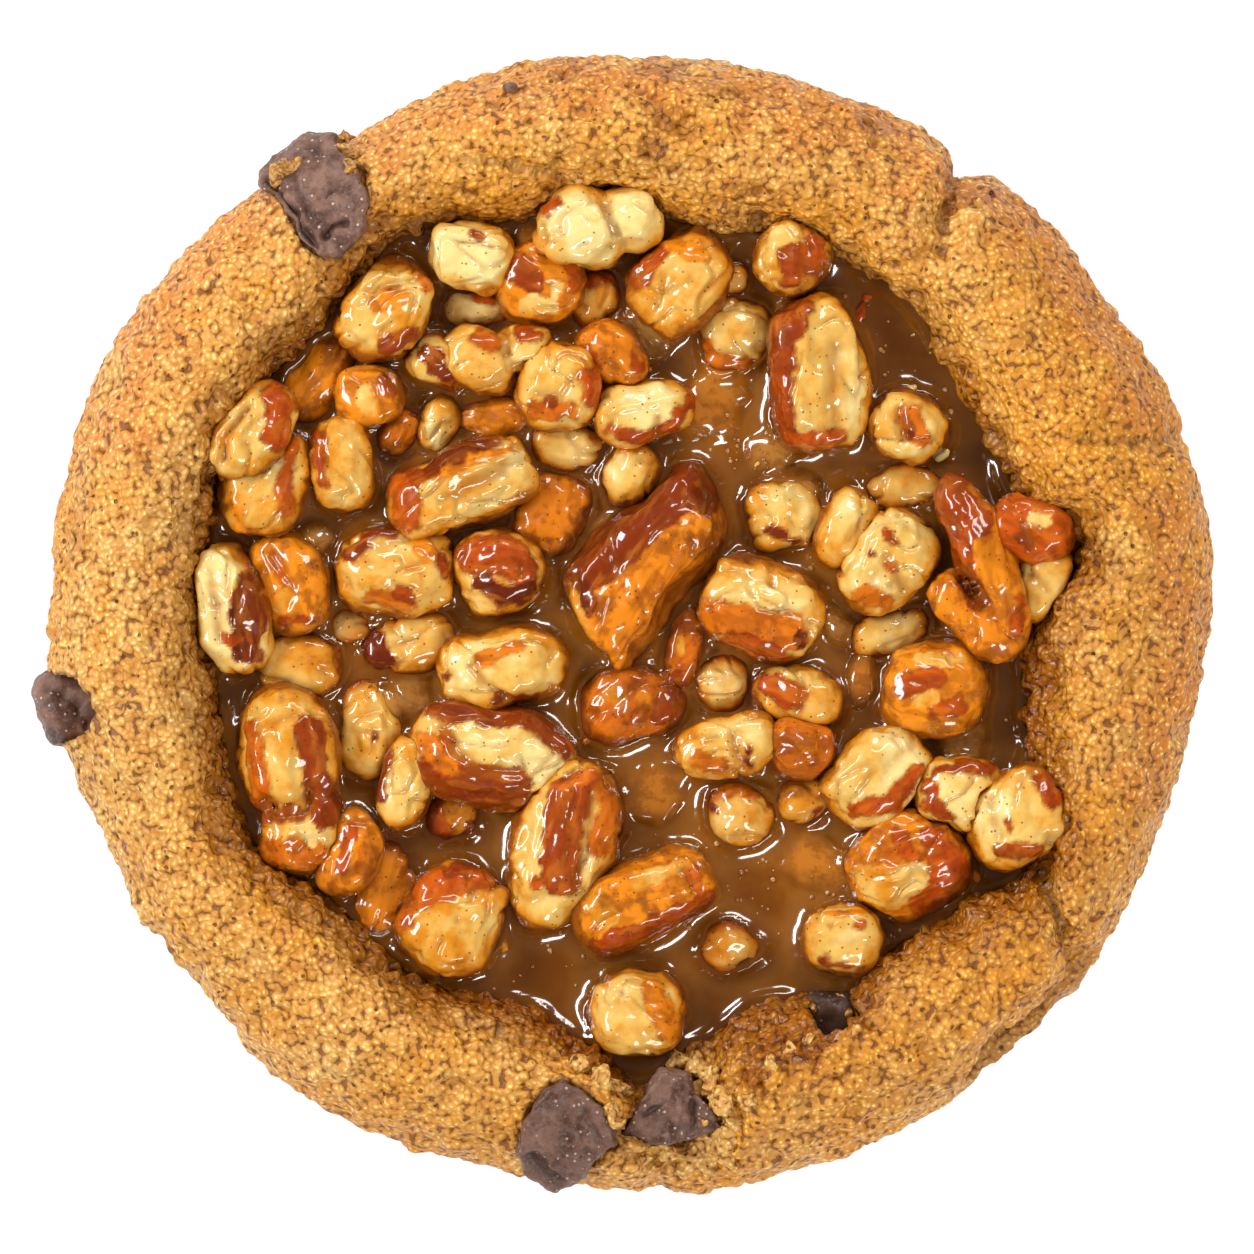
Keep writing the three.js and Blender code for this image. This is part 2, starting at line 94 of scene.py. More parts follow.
# Half section of the ring as radius, height and how far apart its rows of vertices are.
SECTION = [
    (0, 0, 49), (49, 0, 1.8), (52.3, 1.6, 1), (54.4, 5, 1), (55.7, 9.4, 0.9),
    (56.1, 14, 0.47), (55.7, 18.2, 0.36), (54.4, 22, 0.33), (52.2, 25.1, 0.33), (49.4, 27.2, 0.33),
    (46.6, 28, 0.33), (44.2, 27.1, 0.33), (42.3, 25, 0.33), (41, 22.6, 0.33), (40, 20, 0.5),
    (38.6, 17.9, 4), (32, 8, 32), (0, 8, 32),
]


def smoothstep(value, low, high):
    share = np.clip((value - low) / (high - low), 0, 1)
    return share * share * (3 - 2 * share)


def srgb(red, green, blue):
    """A colour given as 0 to 255, as the light that the shader works with."""
    parts = np.array([red, green, blue]) / 255
    light = np.where(parts <= 0.04045, parts / 12.92, ((parts + 0.055) / 1.055) ** 2.4)
    return (*light, 1.0)


def rough_field(points, size, seed, octaves=3):
    """Soft random hills over points in mm, about size mm apart, from -1 to 1."""
    move = Vector((seed * 17.3, seed * 5.1, seed * 11.7))
    return np.array([noise.fractal(Vector(p) / size + move, 0.9, 2.1, octaves) for p in points])


def distance_to_route(x, y, route):
    """Distance in plan to a broken line, and how far along it, from 0 to 1."""
    least = np.full(len(x), 1e9)
    along = np.zeros(len(x))
    for i, ((ax, ay), (bx, by)) in enumerate(zip(route, route[1:])):
        length2 = (bx - ax) ** 2 + (by - ay) ** 2
        share = np.clip(((x - ax) * (bx - ax) + (y - ay) * (by - ay)) / length2, 0, 1)
        gap = np.hypot(x - ax - (bx - ax) * share, y - ay - (by - ay) * share)
        along = np.where(gap < least, (i + share) / (len(route) - 1), along)
        least = np.minimum(least, gap)
    return least, along


def depth_inside(x, y, outline):
    """How far plan points lie inside an outline, less than nothing outside it."""
    within = np.zeros(len(x), bool)
    for (ax, ay), (bx, by) in zip(outline, outline[1:] + outline[:1]):
        if ay != by:
            crossing = ax + (y - ay) * (bx - ax) / (by - ay)
            within ^= ((ay > y) != (by > y)) & (x < crossing)
    gap, _ = distance_to_route(x, y, outline + outline[:1])
    return np.where(within, gap, -gap)


def turned(degrees):
    """Turns rows of points about +Z, as points @ turned(degrees)."""
    ahead, aside = math.cos(math.radians(degrees)), math.sin(math.radians(degrees))
    return np.array([[ahead, aside, 0], [-aside, ahead, 0], [0, 0, 1]])


def mouth_radius(angle):
    """Radius of the caramel's edge at angles in degrees."""
    stops = np.array([a for a, _ in MOUTH] + [MOUTH[0][0] + 360.0])
    radii = np.array([r for _, r in MOUTH] + [MOUTH[0][1]])
    turn = np.mod(angle, 360)
    turn = np.where(turn < stops[0], turn + 360, turn)
    i = np.clip(np.searchsorted(stops, turn, side="right") - 1, 0, len(MOUTH) - 1)
    share = smoothstep(turn, stops[i], stops[i + 1])
    return radii[i] + (radii[i + 1] - radii[i]) * share


def core_of_ring(angle):
    """The middle of the ring's section at angles in radians."""
    height = np.full(len(angle), CORE_HEIGHT)
    return np.column_stack([np.cos(angle) * CORE_RADIUS, np.sin(angle) * CORE_RADIUS, height])


def tear_open(x, y, baked, top, wander):
    """How far the tears lift or sink the dough, and how deep in a split each point lies, for painted
    shade.
    """
    rise, split = np.zeros(len(x)), np.zeros(len(x))
    for route, reach, depth, opened, narrow in CRACKS:
        gap, _ = distance_to_route(x, y, route)
        broad = np.clip(1 - (gap / reach) ** 2, 0, 1) ** 2
        reached = baked if opened else top
        line = np.clip(1 - np.abs(gap + wander) / SPLIT_WIDTH, 0, 1)
        line = line * reached * smoothstep(reach - gap, 0, 1)
        rise -= reached * depth * broad + narrow * line
        split = np.maximum(split, line * min(1, narrow))
    return rise, split


def lap_over(x, y, z, wander):
    """How the lap stands over its ledge, and how deep in its seam each point lies, the ledge beside it
    counting half, for painted shade.
    """
    gap, along = distance_to_route(x, y, LAP)
    outside = np.where(depth_inside(x, y, LEDGE) > 0, 1, -1)
    fade = smoothstep(along, 0.0, 0.12) * smoothstep(1 - along, 0.0, 0.15)
    near = smoothstep(12 - gap, 0, 4) * smoothstep(z, 14.5, 19)
    beyond = gap * outside + wander * 0.5
    rise = LAP_SWELL * np.clip(1 - np.abs(beyond + 2.4) / 2.4, 0, 1)
    rise = (rise - LAP_DROP * smoothstep(beyond, -0.2, 0.9)) * fade * near
    seam = np.clip(1 - np.abs(beyond - 0.5) / 0.9, 0, 1) * fade * near
    ledge_shade = smoothstep(beyond, -0.1, 0.5) * smoothstep(z, 10, 14) * fade
    return rise, np.maximum(seam, 0.5 * ledge_shade)


def bake_rim(points):
    """Takes points of the plain round section, in mm, to where the baked dough stands."""
    x, y, z = points.T
    radius = np.hypot(x, y)
    angle = np.arctan2(y, x)
    mouth = mouth_radius(np.degrees(angle))
    ragged = np.column_stack([np.cos(angle), np.sin(angle), np.zeros(len(angle))]) * MOUTH_RADIUS
    mouth = mouth + 0.5 * rough_field(ragged, 3.2, 4, 2)
    rim = RIM_RADIUS + RIM_OVAL * np.cos(2 * angle)
    share = (radius - MOUTH_RADIUS) / (RIM_RADIUS - MOUTH_RADIUS)
    wanted = np.where(share < 0, radius * mouth / MOUTH_RADIUS, mouth + (rim - mouth) * share)
    wanted = np.where((z < WIDEST_AT) & (radius > CORE_RADIUS), radius * rim / RIM_RADIUS, wanted)
    placed = np.column_stack([wanted * np.cos(angle), wanted * np.sin(angle), z])
    x, y = placed[:, 0], placed[:, 1]
    inside = wanted < CORE_RADIUS
    baked = np.where(inside, smoothstep(z, 21, 25), smoothstep(z, 1.5, 9))
    top = np.where(inside, baked, smoothstep(z, 13, 21))
    rise = baked * (0.5 * rough_field(placed, 9, 1) + 0.44 * rough_field(placed, 3.0, 2, 3))
    for count, height, start in RING_SWELLS:
        rise += baked * height * np.cos(count * (angle - math.radians(start)))
    wander = 0.55 * rough_field(placed, 2.2, 9, 2)
    torn, split = tear_open(x, y, baked, top, wander)
    lapped, seam = lap_over(x, y, z, wander)
    outward = placed - core_of_ring(angle)
    outward /= np.maximum(np.linalg.norm(outward, axis=1), 1e-6)[:, None]
    return placed + outward * (rise + torn + lapped)[:, None], np.maximum(split, seam)


def rows_of(section):
    """Points along a smooth curve through the section, as far apart as it asks."""
    corners = np.array([(r, z) for r, z, _ in section], float)
    rows = []
    for i, (_, _, spacing) in enumerate(section[:-1]):
        before, here, there = corners[max(i - 1, 0)], corners[i], corners[i + 1]
        after = corners[min(i + 2, len(corners) - 1)]
        pull_in, pull_out = (there - before) / 2, (after - here) / 2
        if spacing > 1:
            pull_in = pull_out = there - here
        count = max(1, round(np.linalg.norm(there - here) / spacing))
        for t in np.arange(count) / count:
            rows.append(
                here * (2 * t**3 - 3 * t**2 + 1) + pull_in * (t**3 - 2 * t**2 + t)
                + there * (3 * t**2 - 2 * t**3) + pull_out * (t**3 - t**2)
            )
    return [*rows, corners[-1]]


def places(mesh):
    """The vertices of a mesh as an array in mm."""
    flat = np.empty(len(mesh.vertices) * 3)
    mesh.vertices.foreach_get("co", flat)
    return flat.reshape(-1, 3) / MM


def put_places(mesh, points):
    mesh.vertices.foreach_set("co", (points * MM).ravel())
    mesh.update()


def put_shares(mesh, **shares):
    """Keeps numbers for each vertex, or one for all, which the material reads by their names."""
    for name, values in shares.items():
        numbers = np.full(len(mesh.vertices), values, np.float32)
        mesh.attributes.new(name, "FLOAT", "POINT").data.foreach_set("value", numbers)


def new_piece(name, bm):
    """Makes an object of a bmesh, smooth shaded."""
    mesh = bpy.data.meshes.new(name)
    bm.to_mesh(mesh)
    bm.free()
    mesh.shade_smooth()
    piece = bpy.data.objects.new(name, mesh)
    bpy.context.scene.collection.objects.link(piece)
    return piece


def apply_modifiers(piece):
    """Makes what a piece's modifiers give its own mesh, and takes them off."""
    shaped = piece.evaluated_get(bpy.context.evaluated_depsgraph_get())
    mesh = bpy.data.meshes.new_from_object(shaped)
    piece.modifiers.clear()
    piece.data = mesh
    mesh.shade_smooth()
    return mesh


def feed(tree, socket, value):
    """Links a node's output to a socket, or sets the socket."""
    if isinstance(value, bpy.types.NodeSocket):
        tree.links.new(value, socket)
    elif value is not None:
        socket.default_value = value


def set_inputs(tree, made, inputs):
    """Links or sets inputs of a node, each given under its name or number."""
    for key, value in inputs.items():
        feed(tree, made.inputs[key], value)


def add_node(tree, kind, inputs=None, **settings):
    made = tree.nodes.new(kind)
    for key, value in settings.items():
        setattr(made, key, value)
    set_inputs(tree, made, inputs or {})
    return made


def calculate(tree, operation, first, second=None, third=None):
    inputs = {0: first, 1: second, 2: third}
    return add_node(tree, "ShaderNodeMath", inputs, operation=operation).outputs[0]


def vector(tree, operation, first, second):
    """Arithmetic of two vectors, or of a vector and the number that scales it."""
    inputs = {0: first, "Scale" if operation == "SCALE" else 1: second}
    return add_node(tree, "ShaderNodeVectorMath", inputs, operation=operation).outputs[0]


def remap(tree, value, low, high, start=0.0, end=1.0):
    inputs = {0: value, 1: low, 2: high, 3: start, 4: end}
    return add_node(tree, "ShaderNodeMapRange", inputs, interpolation_type="SMOOTHSTEP").outputs[0]


def blend(tree, share, first, second, mode="MIX"):
    inputs = {0: share, 6: first, 7: second}
    made = add_node(tree, "ShaderNodeMix", inputs, data_type="RGBA", blend_type=mode)
    return made.outputs[2]


def paint(tree, colour, share, strength, tone):
    """Lays a colour over another, as thick as share times strength."""
    return blend(tree, calculate(tree, "MULTIPLY", share, strength), colour, srgb(*tone))


def grain(tree, place, size, detail=2.0, roughness=0.5):
    """Soft noise whose hills are about size mm apart."""
    inputs = {"Vector": place, "Scale": 1 / (size * MM), "Detail": detail, "Roughness": roughness}
    return add_node(tree, "ShaderNodeTexNoise", inputs).outputs["Fac"]


def cells(tree, place, size, melted=0.0, uneven=1.0):
    """Cells about size mm wide, which run into each other where melted is over 0."""
    inputs = {"Vector": place, "Scale": 1 / (size * MM), "Randomness": uneven}
    made = add_node(tree, "ShaderNodeTexVoronoi", inputs)
    if melted:
        made.feature = "SMOOTH_F1"
        made.inputs["Smoothness"].default_value = melted
    return made


def raise_bump(tree, height, distance, strength=1.0, under=None):
    inputs = {"Strength": strength, "Distance": distance * MM, "Height": height, "Normal": under}
    return add_node(tree, "ShaderNodeBump", inputs).outputs["Normal"]


def attribute(tree, name, output="Fac"):
    return add_node(tree, "ShaderNodeAttribute", attribute_name=name).outputs[output]


def new_material(name):
    material = bpy.data.materials.new(name)
    material.use_nodes = True
    return material, material.node_tree, material.node_tree.nodes["Principled BSDF"]


# The three flat chips: height of the back where the rim is highest, and outline in plan.
FLAT_CHIPS = {
    "chip_top_left": (28.7, [
        (-35.9, 42.4), (-35.4, 44.4), (-34.1, 45.8), (-31.9, 47.6), (-28.6, 47.5), (-28.1, 45.7),
        (-26.1, 43.8), (-25.5, 40.9), (-25.7, 38), (-28.3, 35), (-30, 35.4), (-31.4, 36.6), (-32.7, 38.9),
        (-33.9, 41.3),
    ]),
    "chip_bottom": (28.8, [
        (-8.4, -45.2), (-6.6, -44.2), (-4.4, -45.3), (-2.4, -47.2), (-1.6, -50.1), (-3.4, -52.4),
        (-4.9, -54.3), (-7.5, -55.4), (-9.8, -53.6), (-10.7, -51), (-10, -48.2),
    ]),
    "chip_notch": (26.2, [
        (3.4, -43.4), (5.8, -43.6), (6.3, -45.8), (8.2, -47.2), (9.1, -49.3), (5.8, -50.2), (2, -50.6),
        (-0.9, -49.9), (0.5, -47.7), (1.8, -45.2),
    ]),
}
# The two round ones: middle, half sizes, turn, and how much further up their pocket is open.
ROUND_CHIPS = {
    "chip_left": ((-54.2, -8.2, 14.5), (3.8, 3.7, 3.6), 8, 3.2),
    "chip_melted": ((19.6, -38.4, 20.8), (2.5, 2.3, 2.2), 20, 3.5),
}
POCKET_DEPTH = 7
POCKET_UNDER = 2.0
RIM_TURNS_AT = 45
RIM_FALL = 0.05


def back_of_rim(x, y, crest):
    """Height of a flake that lies over the rounded rim and falls with it to the outside."""
    return crest - RIM_FALL * np.maximum(np.hypot(x, y) - RIM_TURNS_AT, 0) ** 2


def open_pockets(points):
    """Sinks the dough that a chip takes the place of, straight towards the ring's core."""
    inward = core_of_ring(np.arctan2(points[:, 1], points[:, 0])) - points
    inward /= np.maximum(np.linalg.norm(inward, axis=1), 1e-6)[:, None]
    edge = np.zeros(len(points))
    for crest, outline in FLAT_CHIPS.values():
        x, y, z = points.T
        within = depth_inside(x, y, outline)
        upper = smoothstep(z, 12, 17)
        push = z - back_of_rim(x, y, crest) + POCKET_UNDER
        push = push * smoothstep(within, -0.35, 0.3) * upper
        edge = np.maximum(edge, np.exp(-(((within + 0.1) / 0.3) ** 2)) * upper)
        points = points + inward * np.clip(push, 0, POCKET_DEPTH)[:, None]
    for middle, half, turn, headroom in ROUND_CHIPS.values():
        local = (points - np.array(middle)) @ turned(-turn)
        size = np.array(half) * np.where(local[:, 2:] > 0, [1, 1, headroom], 1) + 0.1
        local /= size
        heading = inward @ turned(-turn) / size
        a, b = (heading**2).sum(1), (local * heading).sum(1)
        c = (local**2).sum(1) - 1
        push = np.where(c < 0, (-b + np.sqrt(np.maximum(b * b - a * c, 0))) / a, 0)
        points = points + inward * np.minimum(push, POCKET_DEPTH)[:, None]
        edge = np.maximum(edge, np.clip(1 - np.abs(np.sqrt(c + 1) - 1) / 0.16, 0, 1))
    return points, edge


bm = bmesh.new()
rows = [bm.verts.new((radius * MM, 0, height * MM)) for radius, height in rows_of(SECTION)]
for low, high in zip(rows, rows[1:]):
    bm.edges.new((low, high))
bmesh.ops.spin(
    bm, geom=bm.verts[:] + bm.edges[:], cent=(0, 0, 0), axis=(0, 0, 1),
    angle=math.tau, steps=RING_STEPS, use_merge=True,
)
bmesh.ops.remove_doubles(bm, verts=bm.verts, dist=1e-6)
bmesh.ops.recalc_face_normals(bm, faces=bm.faces)
crust = new_piece("crust_shell", bm)
plain = places(crust.data)
baked, split = bake_rim(plain)
baked, pocket_shade = open_pockets(baked)
put_places(crust.data, baked)

# How far the caramel has soaked up the inner slope, less on the side that stayed dry (in degrees),
# where the slope is also painted lighter to lift the shade that falls on it, with a stain over the
# rim by the melted chip. Then how brown each place baked, how scorched it is along routes on the
# outer edge, each with its half width, and how deep it lies in a tear, a seam or a chip's pocket
# edge, which the material paints as shade.
SOAK_REACH = 6.2
LOWEST_SOAK = 17
DRY_LIGHTENED_SIDE = 68
DRY_LIGHTENED_WIDTH = 50
STAIN = [(12.5, -42.5), (17, -40.2), (21, -38)]
STAIN_REACH = 3.4
BROWNED = 0.62
BROWNER_ON_RIGHT = 0.26
SCORCHED = [
    ([(-34, 43.5), (-41, 37.5), (-46.5, 29), (-50, 20)], 4.0), ([(-24, 47.5), (-12, 51.5), (2, 53)], 3.5),
    ([(12, 51.5), (25, 47.5), (31, 43)], 3.5), ([(37, 41), (45, 32), (49.5, 22)], 3.5),
    ([(52, 10), (53.5, -4), (51, -16)], 3.0),
]
angle = np.arctan2(baked[:, 1], baked[:, 0])
reach = np.hypot(baked[:, 0], baked[:, 1])
slope = reach - mouth_radius(np.degrees(angle))
soak = SOAK_REACH + 3.0 * rough_field(baked, 5, 6) + 1.2 * np.cos(angle + 0.5)
drier_lightened = np.exp(-(((np.degrees(angle) - DRY_LIGHTENED_SIDE) / DRY_LIGHTENED_WIDTH) ** 4))
wet = (1 - smoothstep(slope, 0.4, soak - 4.5 * drier_lightened)) * (1 - 0.5 * drier_lightened)
stain, _ = distance_to_route(baked[:, 0], baked[:, 1], STAIN)
stain = STAIN_REACH - stain + 4 * rough_field(baked, 2.4, 10)
wet = np.maximum(wet, 0.9 * smoothstep(stain, 0, 2))
toast = BROWNED + BROWNER_ON_RIGHT * np.cos(angle + 0.25)
toast += 0.6 * rough_field(baked, 11, 7) + 0.3 * rough_field(baked, 4, 8)
scorch = np.zeros(len(baked))
for route, wide in SCORCHED:
    gap, _ = distance_to_route(baked[:, 0], baked[:, 1], route)
    scorch = np.maximum(scorch, smoothstep(wide - gap + 4.5 * rough_field(baked, 4.5, 9), -1.0, 2.2))
wet = np.where(baked[:, 2] > LOWEST_SOAK, wet, 0)
# The tear share paints shade into the splits, along the lap's seam and over the ledge under it, and round
# the edges of the chips' pockets.
tear = np.clip(split + 0.8 * pocket_shade, 0, 1)
put_shares(crust.data, wet=wet, toast=np.clip(toast, 0, 1), scorch=scorch, tear=tear)

# Lifts the grains of the crumb, and keeps the place that they were laid out by for the material.
# The place is stirred a little first, so that no two grains are alike.
STIR_SIZE = 1.3
STIR_REACH = 0.75
crumb = bpy.data.node_groups.new("crumb", "GeometryNodeTree")
crumb.is_modifier = True
crumb.interface.new_socket("Geometry", in_out="INPUT", socket_type="NodeSocketGeometry")
crumb.interface.new_socket("Geometry", in_out="OUTPUT", socket_type="NodeSocketGeometry")
dough = add_node(crumb, "NodeGroupInput").outputs[0]
place = add_node(crumb, "GeometryNodeInputPosition").outputs[0]
eddies = {"Vector": place, "Scale": 1 / (STIR_SIZE * MM), "Detail": 1.0}
stir = add_node(crumb, "ShaderNodeTexNoise", eddies).outputs["Color"]
stir = vector(crumb, "SUBTRACT", stir, (0.5, 0.5, 0.5))
stirred = vector(crumb, "ADD", place, vector(crumb, "SCALE", stir, STIR_REACH * MM))
laid_out = {"Geometry": dough, "Name": "dough"}
kept = add_node(crumb, "GeometryNodeStoreNamedAttribute", laid_out, data_type="FLOAT_VECTOR")
feed(crumb, kept.inputs["Value"], stirred)
lump = cells(crumb, stirred, LUMP_SIZE).outputs["Distance"]
clump = cells(crumb, stirred, CLUMP_SIZE).outputs["Distance"]
swell = calculate(crumb, "MULTIPLY_ADD", calculate(crumb, "MULTIPLY", lump, lump), -2.4, 0.7)
swell = calculate(crumb, "MAXIMUM", swell, -0.9)
swell = calculate(crumb, "SUBTRACT", swell, remap(crumb, clump, 0.35, 0.75, 0, 1.3))
swell = calculate(crumb, "MULTIPLY", swell, remap(crumb, grain(crumb, place, 5), 0.3, 0.65, 0.6, 1.5))
height = add_node(crumb, "ShaderNodeSeparateXYZ", {0: place}).outputs[2]
swell = calculate(crumb, "MULTIPLY", swell, remap(crumb, height, 0.3 * MM, 3 * MM, 0, CRUMB_HEIGHT * MM))
soaked = add_node(crumb, "GeometryNodeInputNamedAttribute", {"Name": "wet"}).outputs["Attribute"]
lift = calculate(crumb, "MULTIPLY", swell, calculate(crumb, "MULTIPLY_ADD", soaked, 0.9, 1.0))
outward = add_node(crumb, "GeometryNodeInputNormal").outputs[0]
offset = vector(crumb, "SCALE", outward, lift)
raised = add_node(crumb, "GeometryNodeSetPosition", {"Geometry": kept.outputs[0], "Offset": offset})
feed(crumb, add_node(crumb, "NodeGroupOutput").inputs[0], raised.outputs[0])
crust.modifiers.new("crumb", "NODES").node_group = crumb
apply_modifiers(crust)

baked_crumb, tree, shader = new_material("baked_crumb")
place = attribute(tree, "dough", "Vector")
wet, toast, tear = attribute(tree, "wet"), attribute(tree, "toast"), attribute(tree, "tear")
bead = cells(tree, place, BEAD_SIZE, 0.35, 0.9)
away = bead.outputs["Distance"]
flour = grain(tree, place, 0.5, 3, 0.6)
fine = cells(tree, place, 0.34)
lump = cells(tree, place, LUMP_SIZE)
clump = cells(tree, place, CLUMP_SIZE)
hole = cells(tree, place, 1.5)
dome = calculate(tree, "MULTIPLY", away, away)
top = remap(tree, away, 0.36, 0.14)
crevice_shade = remap(tree, away, 0.36, 0.62)
pit_shade = remap(tree, away, 0.655, 0.745)
hollow_shade = remap(tree, lump.outputs["Distance"], 0.5, 0.85)
gully_shade = remap(tree, clump.outputs["Distance"], 0.5, 0.85)
patches = grain(tree, place, 3.4, 5, 0.65)
colour = blend(tree, toast, srgb(217, 171, 92), srgb(215, 141, 22))
colour = blend(tree, remap(tree, patches, 0.42, 0.68, 0, 0.55), colour, srgb(204, 130, 30))
colour = paint(tree, colour, attribute(tree, "scorch"), 0.5, (206, 108, 28))
bead_tone = add_node(tree, "ShaderNodeSeparateColor", {0: bead.outputs["Color"]})
colour = blend(tree, remap(tree, bead_tone.outputs[1], 0.5, 0.9, 0, 0.22), colour, srgb(204, 126, 30))
lit = calculate(tree, "MULTIPLY", top, remap(tree, bead_tone.outputs[0], 0.0, 1.0, 0.55, 1.0))
colour = blend(tree, lit, colour, blend(tree, toast, srgb(253, 219, 140), srgb(248, 199, 88)))
colour = blend(tree, remap(tree, flour, 0.56, 0.7, 0, 0.3), colour, srgb(250, 212, 124))
colour = blend(tree, remap(tree, flour, 0.46, 0.34, 0, 0.3), colour, srgb(164, 96, 20))
# The crevices between grains, the hollows between lumps and the gullies between clumps are painted
# darker, and the pits where grains meet darkest: painted shade in the recesses of the crumb.
colour = paint(tree, colour, crevice_shade, 0.45, (180, 108, 24))
colour = paint(tree, colour, hollow_shade, 0.22, (164, 96, 20))
colour = paint(tree, colour, gully_shade, 0.25, (156, 90, 20))
colour = paint(tree, colour, pit_shade, 0.78, (108, 56, 10))
soaked = blend(tree, 1.0, colour, srgb(174, 144, 88), "MULTIPLY")
colour = blend(tree, wet, colour, soaked)
# Painted shade in the tears, seams and pocket edges.
colour = paint(tree, colour, tear, 0.75, (104, 62, 20))
# The pinholes are painted near black, painted shade inside each hole, and the bump below sinks them too.
pinhole = remap(tree, hole.outputs["Distance"], 0.16, 0.09)
colour = paint(tree, colour, pinhole, 0.8, (84, 40, 8))
bumped = raise_bump(tree, dome, -0.42, 0.9)
bumped = raise_bump(tree, flour, 0.12, 0.6, bumped)
bumped = raise_bump(tree, fine.outputs["Distance"], -0.06, 0.6, bumped)
bumped = raise_bump(tree, pinhole, -0.3, 0.8, bumped)
set_inputs(tree, shader, {
    "Base Color": colour, "Roughness": remap(tree, wet, 0.25, 0.8, 0.45, 0.24),
    "Specular IOR Level": 0.4, "Normal": bumped,
})
crust.data.materials.append(baked_crumb)
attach(crust, "root")
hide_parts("crust")

# ---------------------------------------------------------------- chocolate chips
# Broken flakes and drops of dark chocolate that were kneaded into the dough. They softened in the
# oven and set again, dull brown with a dusty bloom, half held by the crumb round them.

VOXEL = 0.24
FLAKE_VOXEL = 0.2
FLAKE_THICKNESS = 3.6
# How far some have melted again, and how the one that melted through has spread and sunk.
MELTED = {"chip_melted": 1.0, "chip_bottom": 0.3, "chip_notch": 0.15}
MELTED_SPREAD = (1.3, 1.05, 0.85)
MELTED_SINK = 0.4


def round_off(piece, voxel, steps, swell):
    """Gives a rough solid an even, dense mesh and rounds its edges, ready for carving."""
    even = piece.modifiers.new("even", "REMESH")
    even.mode, even.voxel_size = "VOXEL", voxel * MM
    mesh = apply_modifiers(piece)
    bm = bmesh.new()
    bm.from_mesh(mesh)
    for _ in range(steps):
        bmesh.ops.smooth_vert(
            bm, verts=bm.verts, factor=0.6, use_axis_x=True, use_axis_y=True, use_axis_z=True
        )
    bm.to_mesh(mesh)
    bm.free()
    put_places(mesh, places(mesh) + normals(mesh) * swell)


def soften_copy(node, name, steps, swell):
    """A rounded copy of a solid."""
    bm = bmesh.new()
    bm.from_mesh(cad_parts[node].data)
    bmesh.ops.remove_doubles(bm, verts=bm.verts, dist=1e-6)
    piece = new_piece(name, bm)
    round_off(piece, VOXEL, steps, swell)
    return piece


def normals(mesh):
    flat = np.empty(len(mesh.vertices) * 3)
    mesh.vertices.foreach_get("normal", flat)
    return flat.reshape(-1, 3)


def gap_to(x, y, route):
    """Distance in plan to a route, which may be a single point."""
    if len(route) == 1:
        return np.hypot(x - route[0][0], y - route[0][1])
    return distance_to_route(x, y, route)[0]


def press_grooves(points, facing, grooves, seed, ragged=0.25):
    """How far grooves, given as route, half width and depth, press the upper side in, and how dark each
    groove is painted as shade.
    """
    press, fold = np.zeros(len(points)), np.zeros(len(points))
    upward = smoothstep(facing[:, 2], 0.0, 0.6)
    wander = ragged * rough_field(points, 2.2, 60 + seed, 2)
    for route, wide, depth in grooves:
        gap = np.maximum(gap_to(points[:, 0], points[:, 1], route) + wander, 0)
        near = np.exp(-((gap / wide) ** 2)) * upward
        press += depth * near
        fold = np.maximum(fold, near * np.clip(depth * 1.6, 0, 1))
    return press, fold


# Ledges and cracks of the chips: plan route, half width and depth. A negative one is a ridge.
CHIP_GROOVES = {
    "chip_top_left": [
        ([(-35.2, 43), (-33.3, 40.7), (-32, 38.2), (-30.4, 36.3)], 0.38, 0.8),
        ([(-34.4, 43.9), (-32.5, 41.3), (-31.3, 38.7), (-29.8, 37)], 0.3, -0.4),
        ([(-33.6, 44.3), (-31.9, 41.8), (-30.8, 39.2)], 0.3, 0.35),
        ([(-29.5, 41.2), (-28.5, 41.9), (-27.2, 42.7)], 0.24, 0.7),
        ([(-29.6, 37.1), (-28.8, 38.3), (-27.6, 38.5)], 0.24, 0.7),
        ([(-31.2, 46.4), (-29.4, 45.2)], 0.3, 0.3),
    ],
    "chip_bottom": [
        ([(-9.2, -47), (-7.6, -45.4), (-5.2, -45.8)], 0.5, -0.3),
        ([(-9.7, -52), (-8.2, -53.6), (-6.4, -54.4)], 0.4, 0.5), ([(-4.4, -47.4), (-3, -50)], 0.4, 0.3),
    ],
    "chip_notch": [
        ([(4.6, -44.2), (4.9, -47), (3.9, -49.9)], 0.4, -0.5), ([(5.9, -45.6), (6.2, -48.8)], 0.35, 0.6),
        ([(1.2, -48), (3.4, -46.6)], 0.35, 0.45), ([(7, -48.4), (8.4, -49)], 0.3, 0.4),
    ],
    "chip_left": [([(-57, -6.4), (-54.4, -7.6), (-53, -10)], 0.5, 0.4)],
    "chip_melted": [],
}

chocolate, tree, shader = new_material("bloomed_chocolate")
place = add_node(tree, "ShaderNodeTexCoord").outputs["Object"]
bloom = grain(tree, place, 2.6, 5, 0.7)
colour = blend(tree, remap(tree, bloom, 0.32, 0.68), srgb(74, 46, 35), srgb(132, 96, 80))
fine_dust = grain(tree, place, 0.45, 2, 0.6)
colour = blend(tree, remap(tree, fine_dust, 0.52, 0.75, 0, 0.35), colour, srgb(150, 116, 100))
speck = cells(tree, place, 0.75)
tone = add_node(tree, "ShaderNodeSeparateColor", {0: speck.outputs["Color"]})
chosen = calculate(tree, "GREATER_THAN", tone.outputs[0], 0.4)
dusted = calculate(tree, "MULTIPLY", remap(tree, speck.outputs["Distance"], 0.26, 0.14), chosen)
colour = paint(tree, colour, dusted, 0.75, (206, 178, 160))
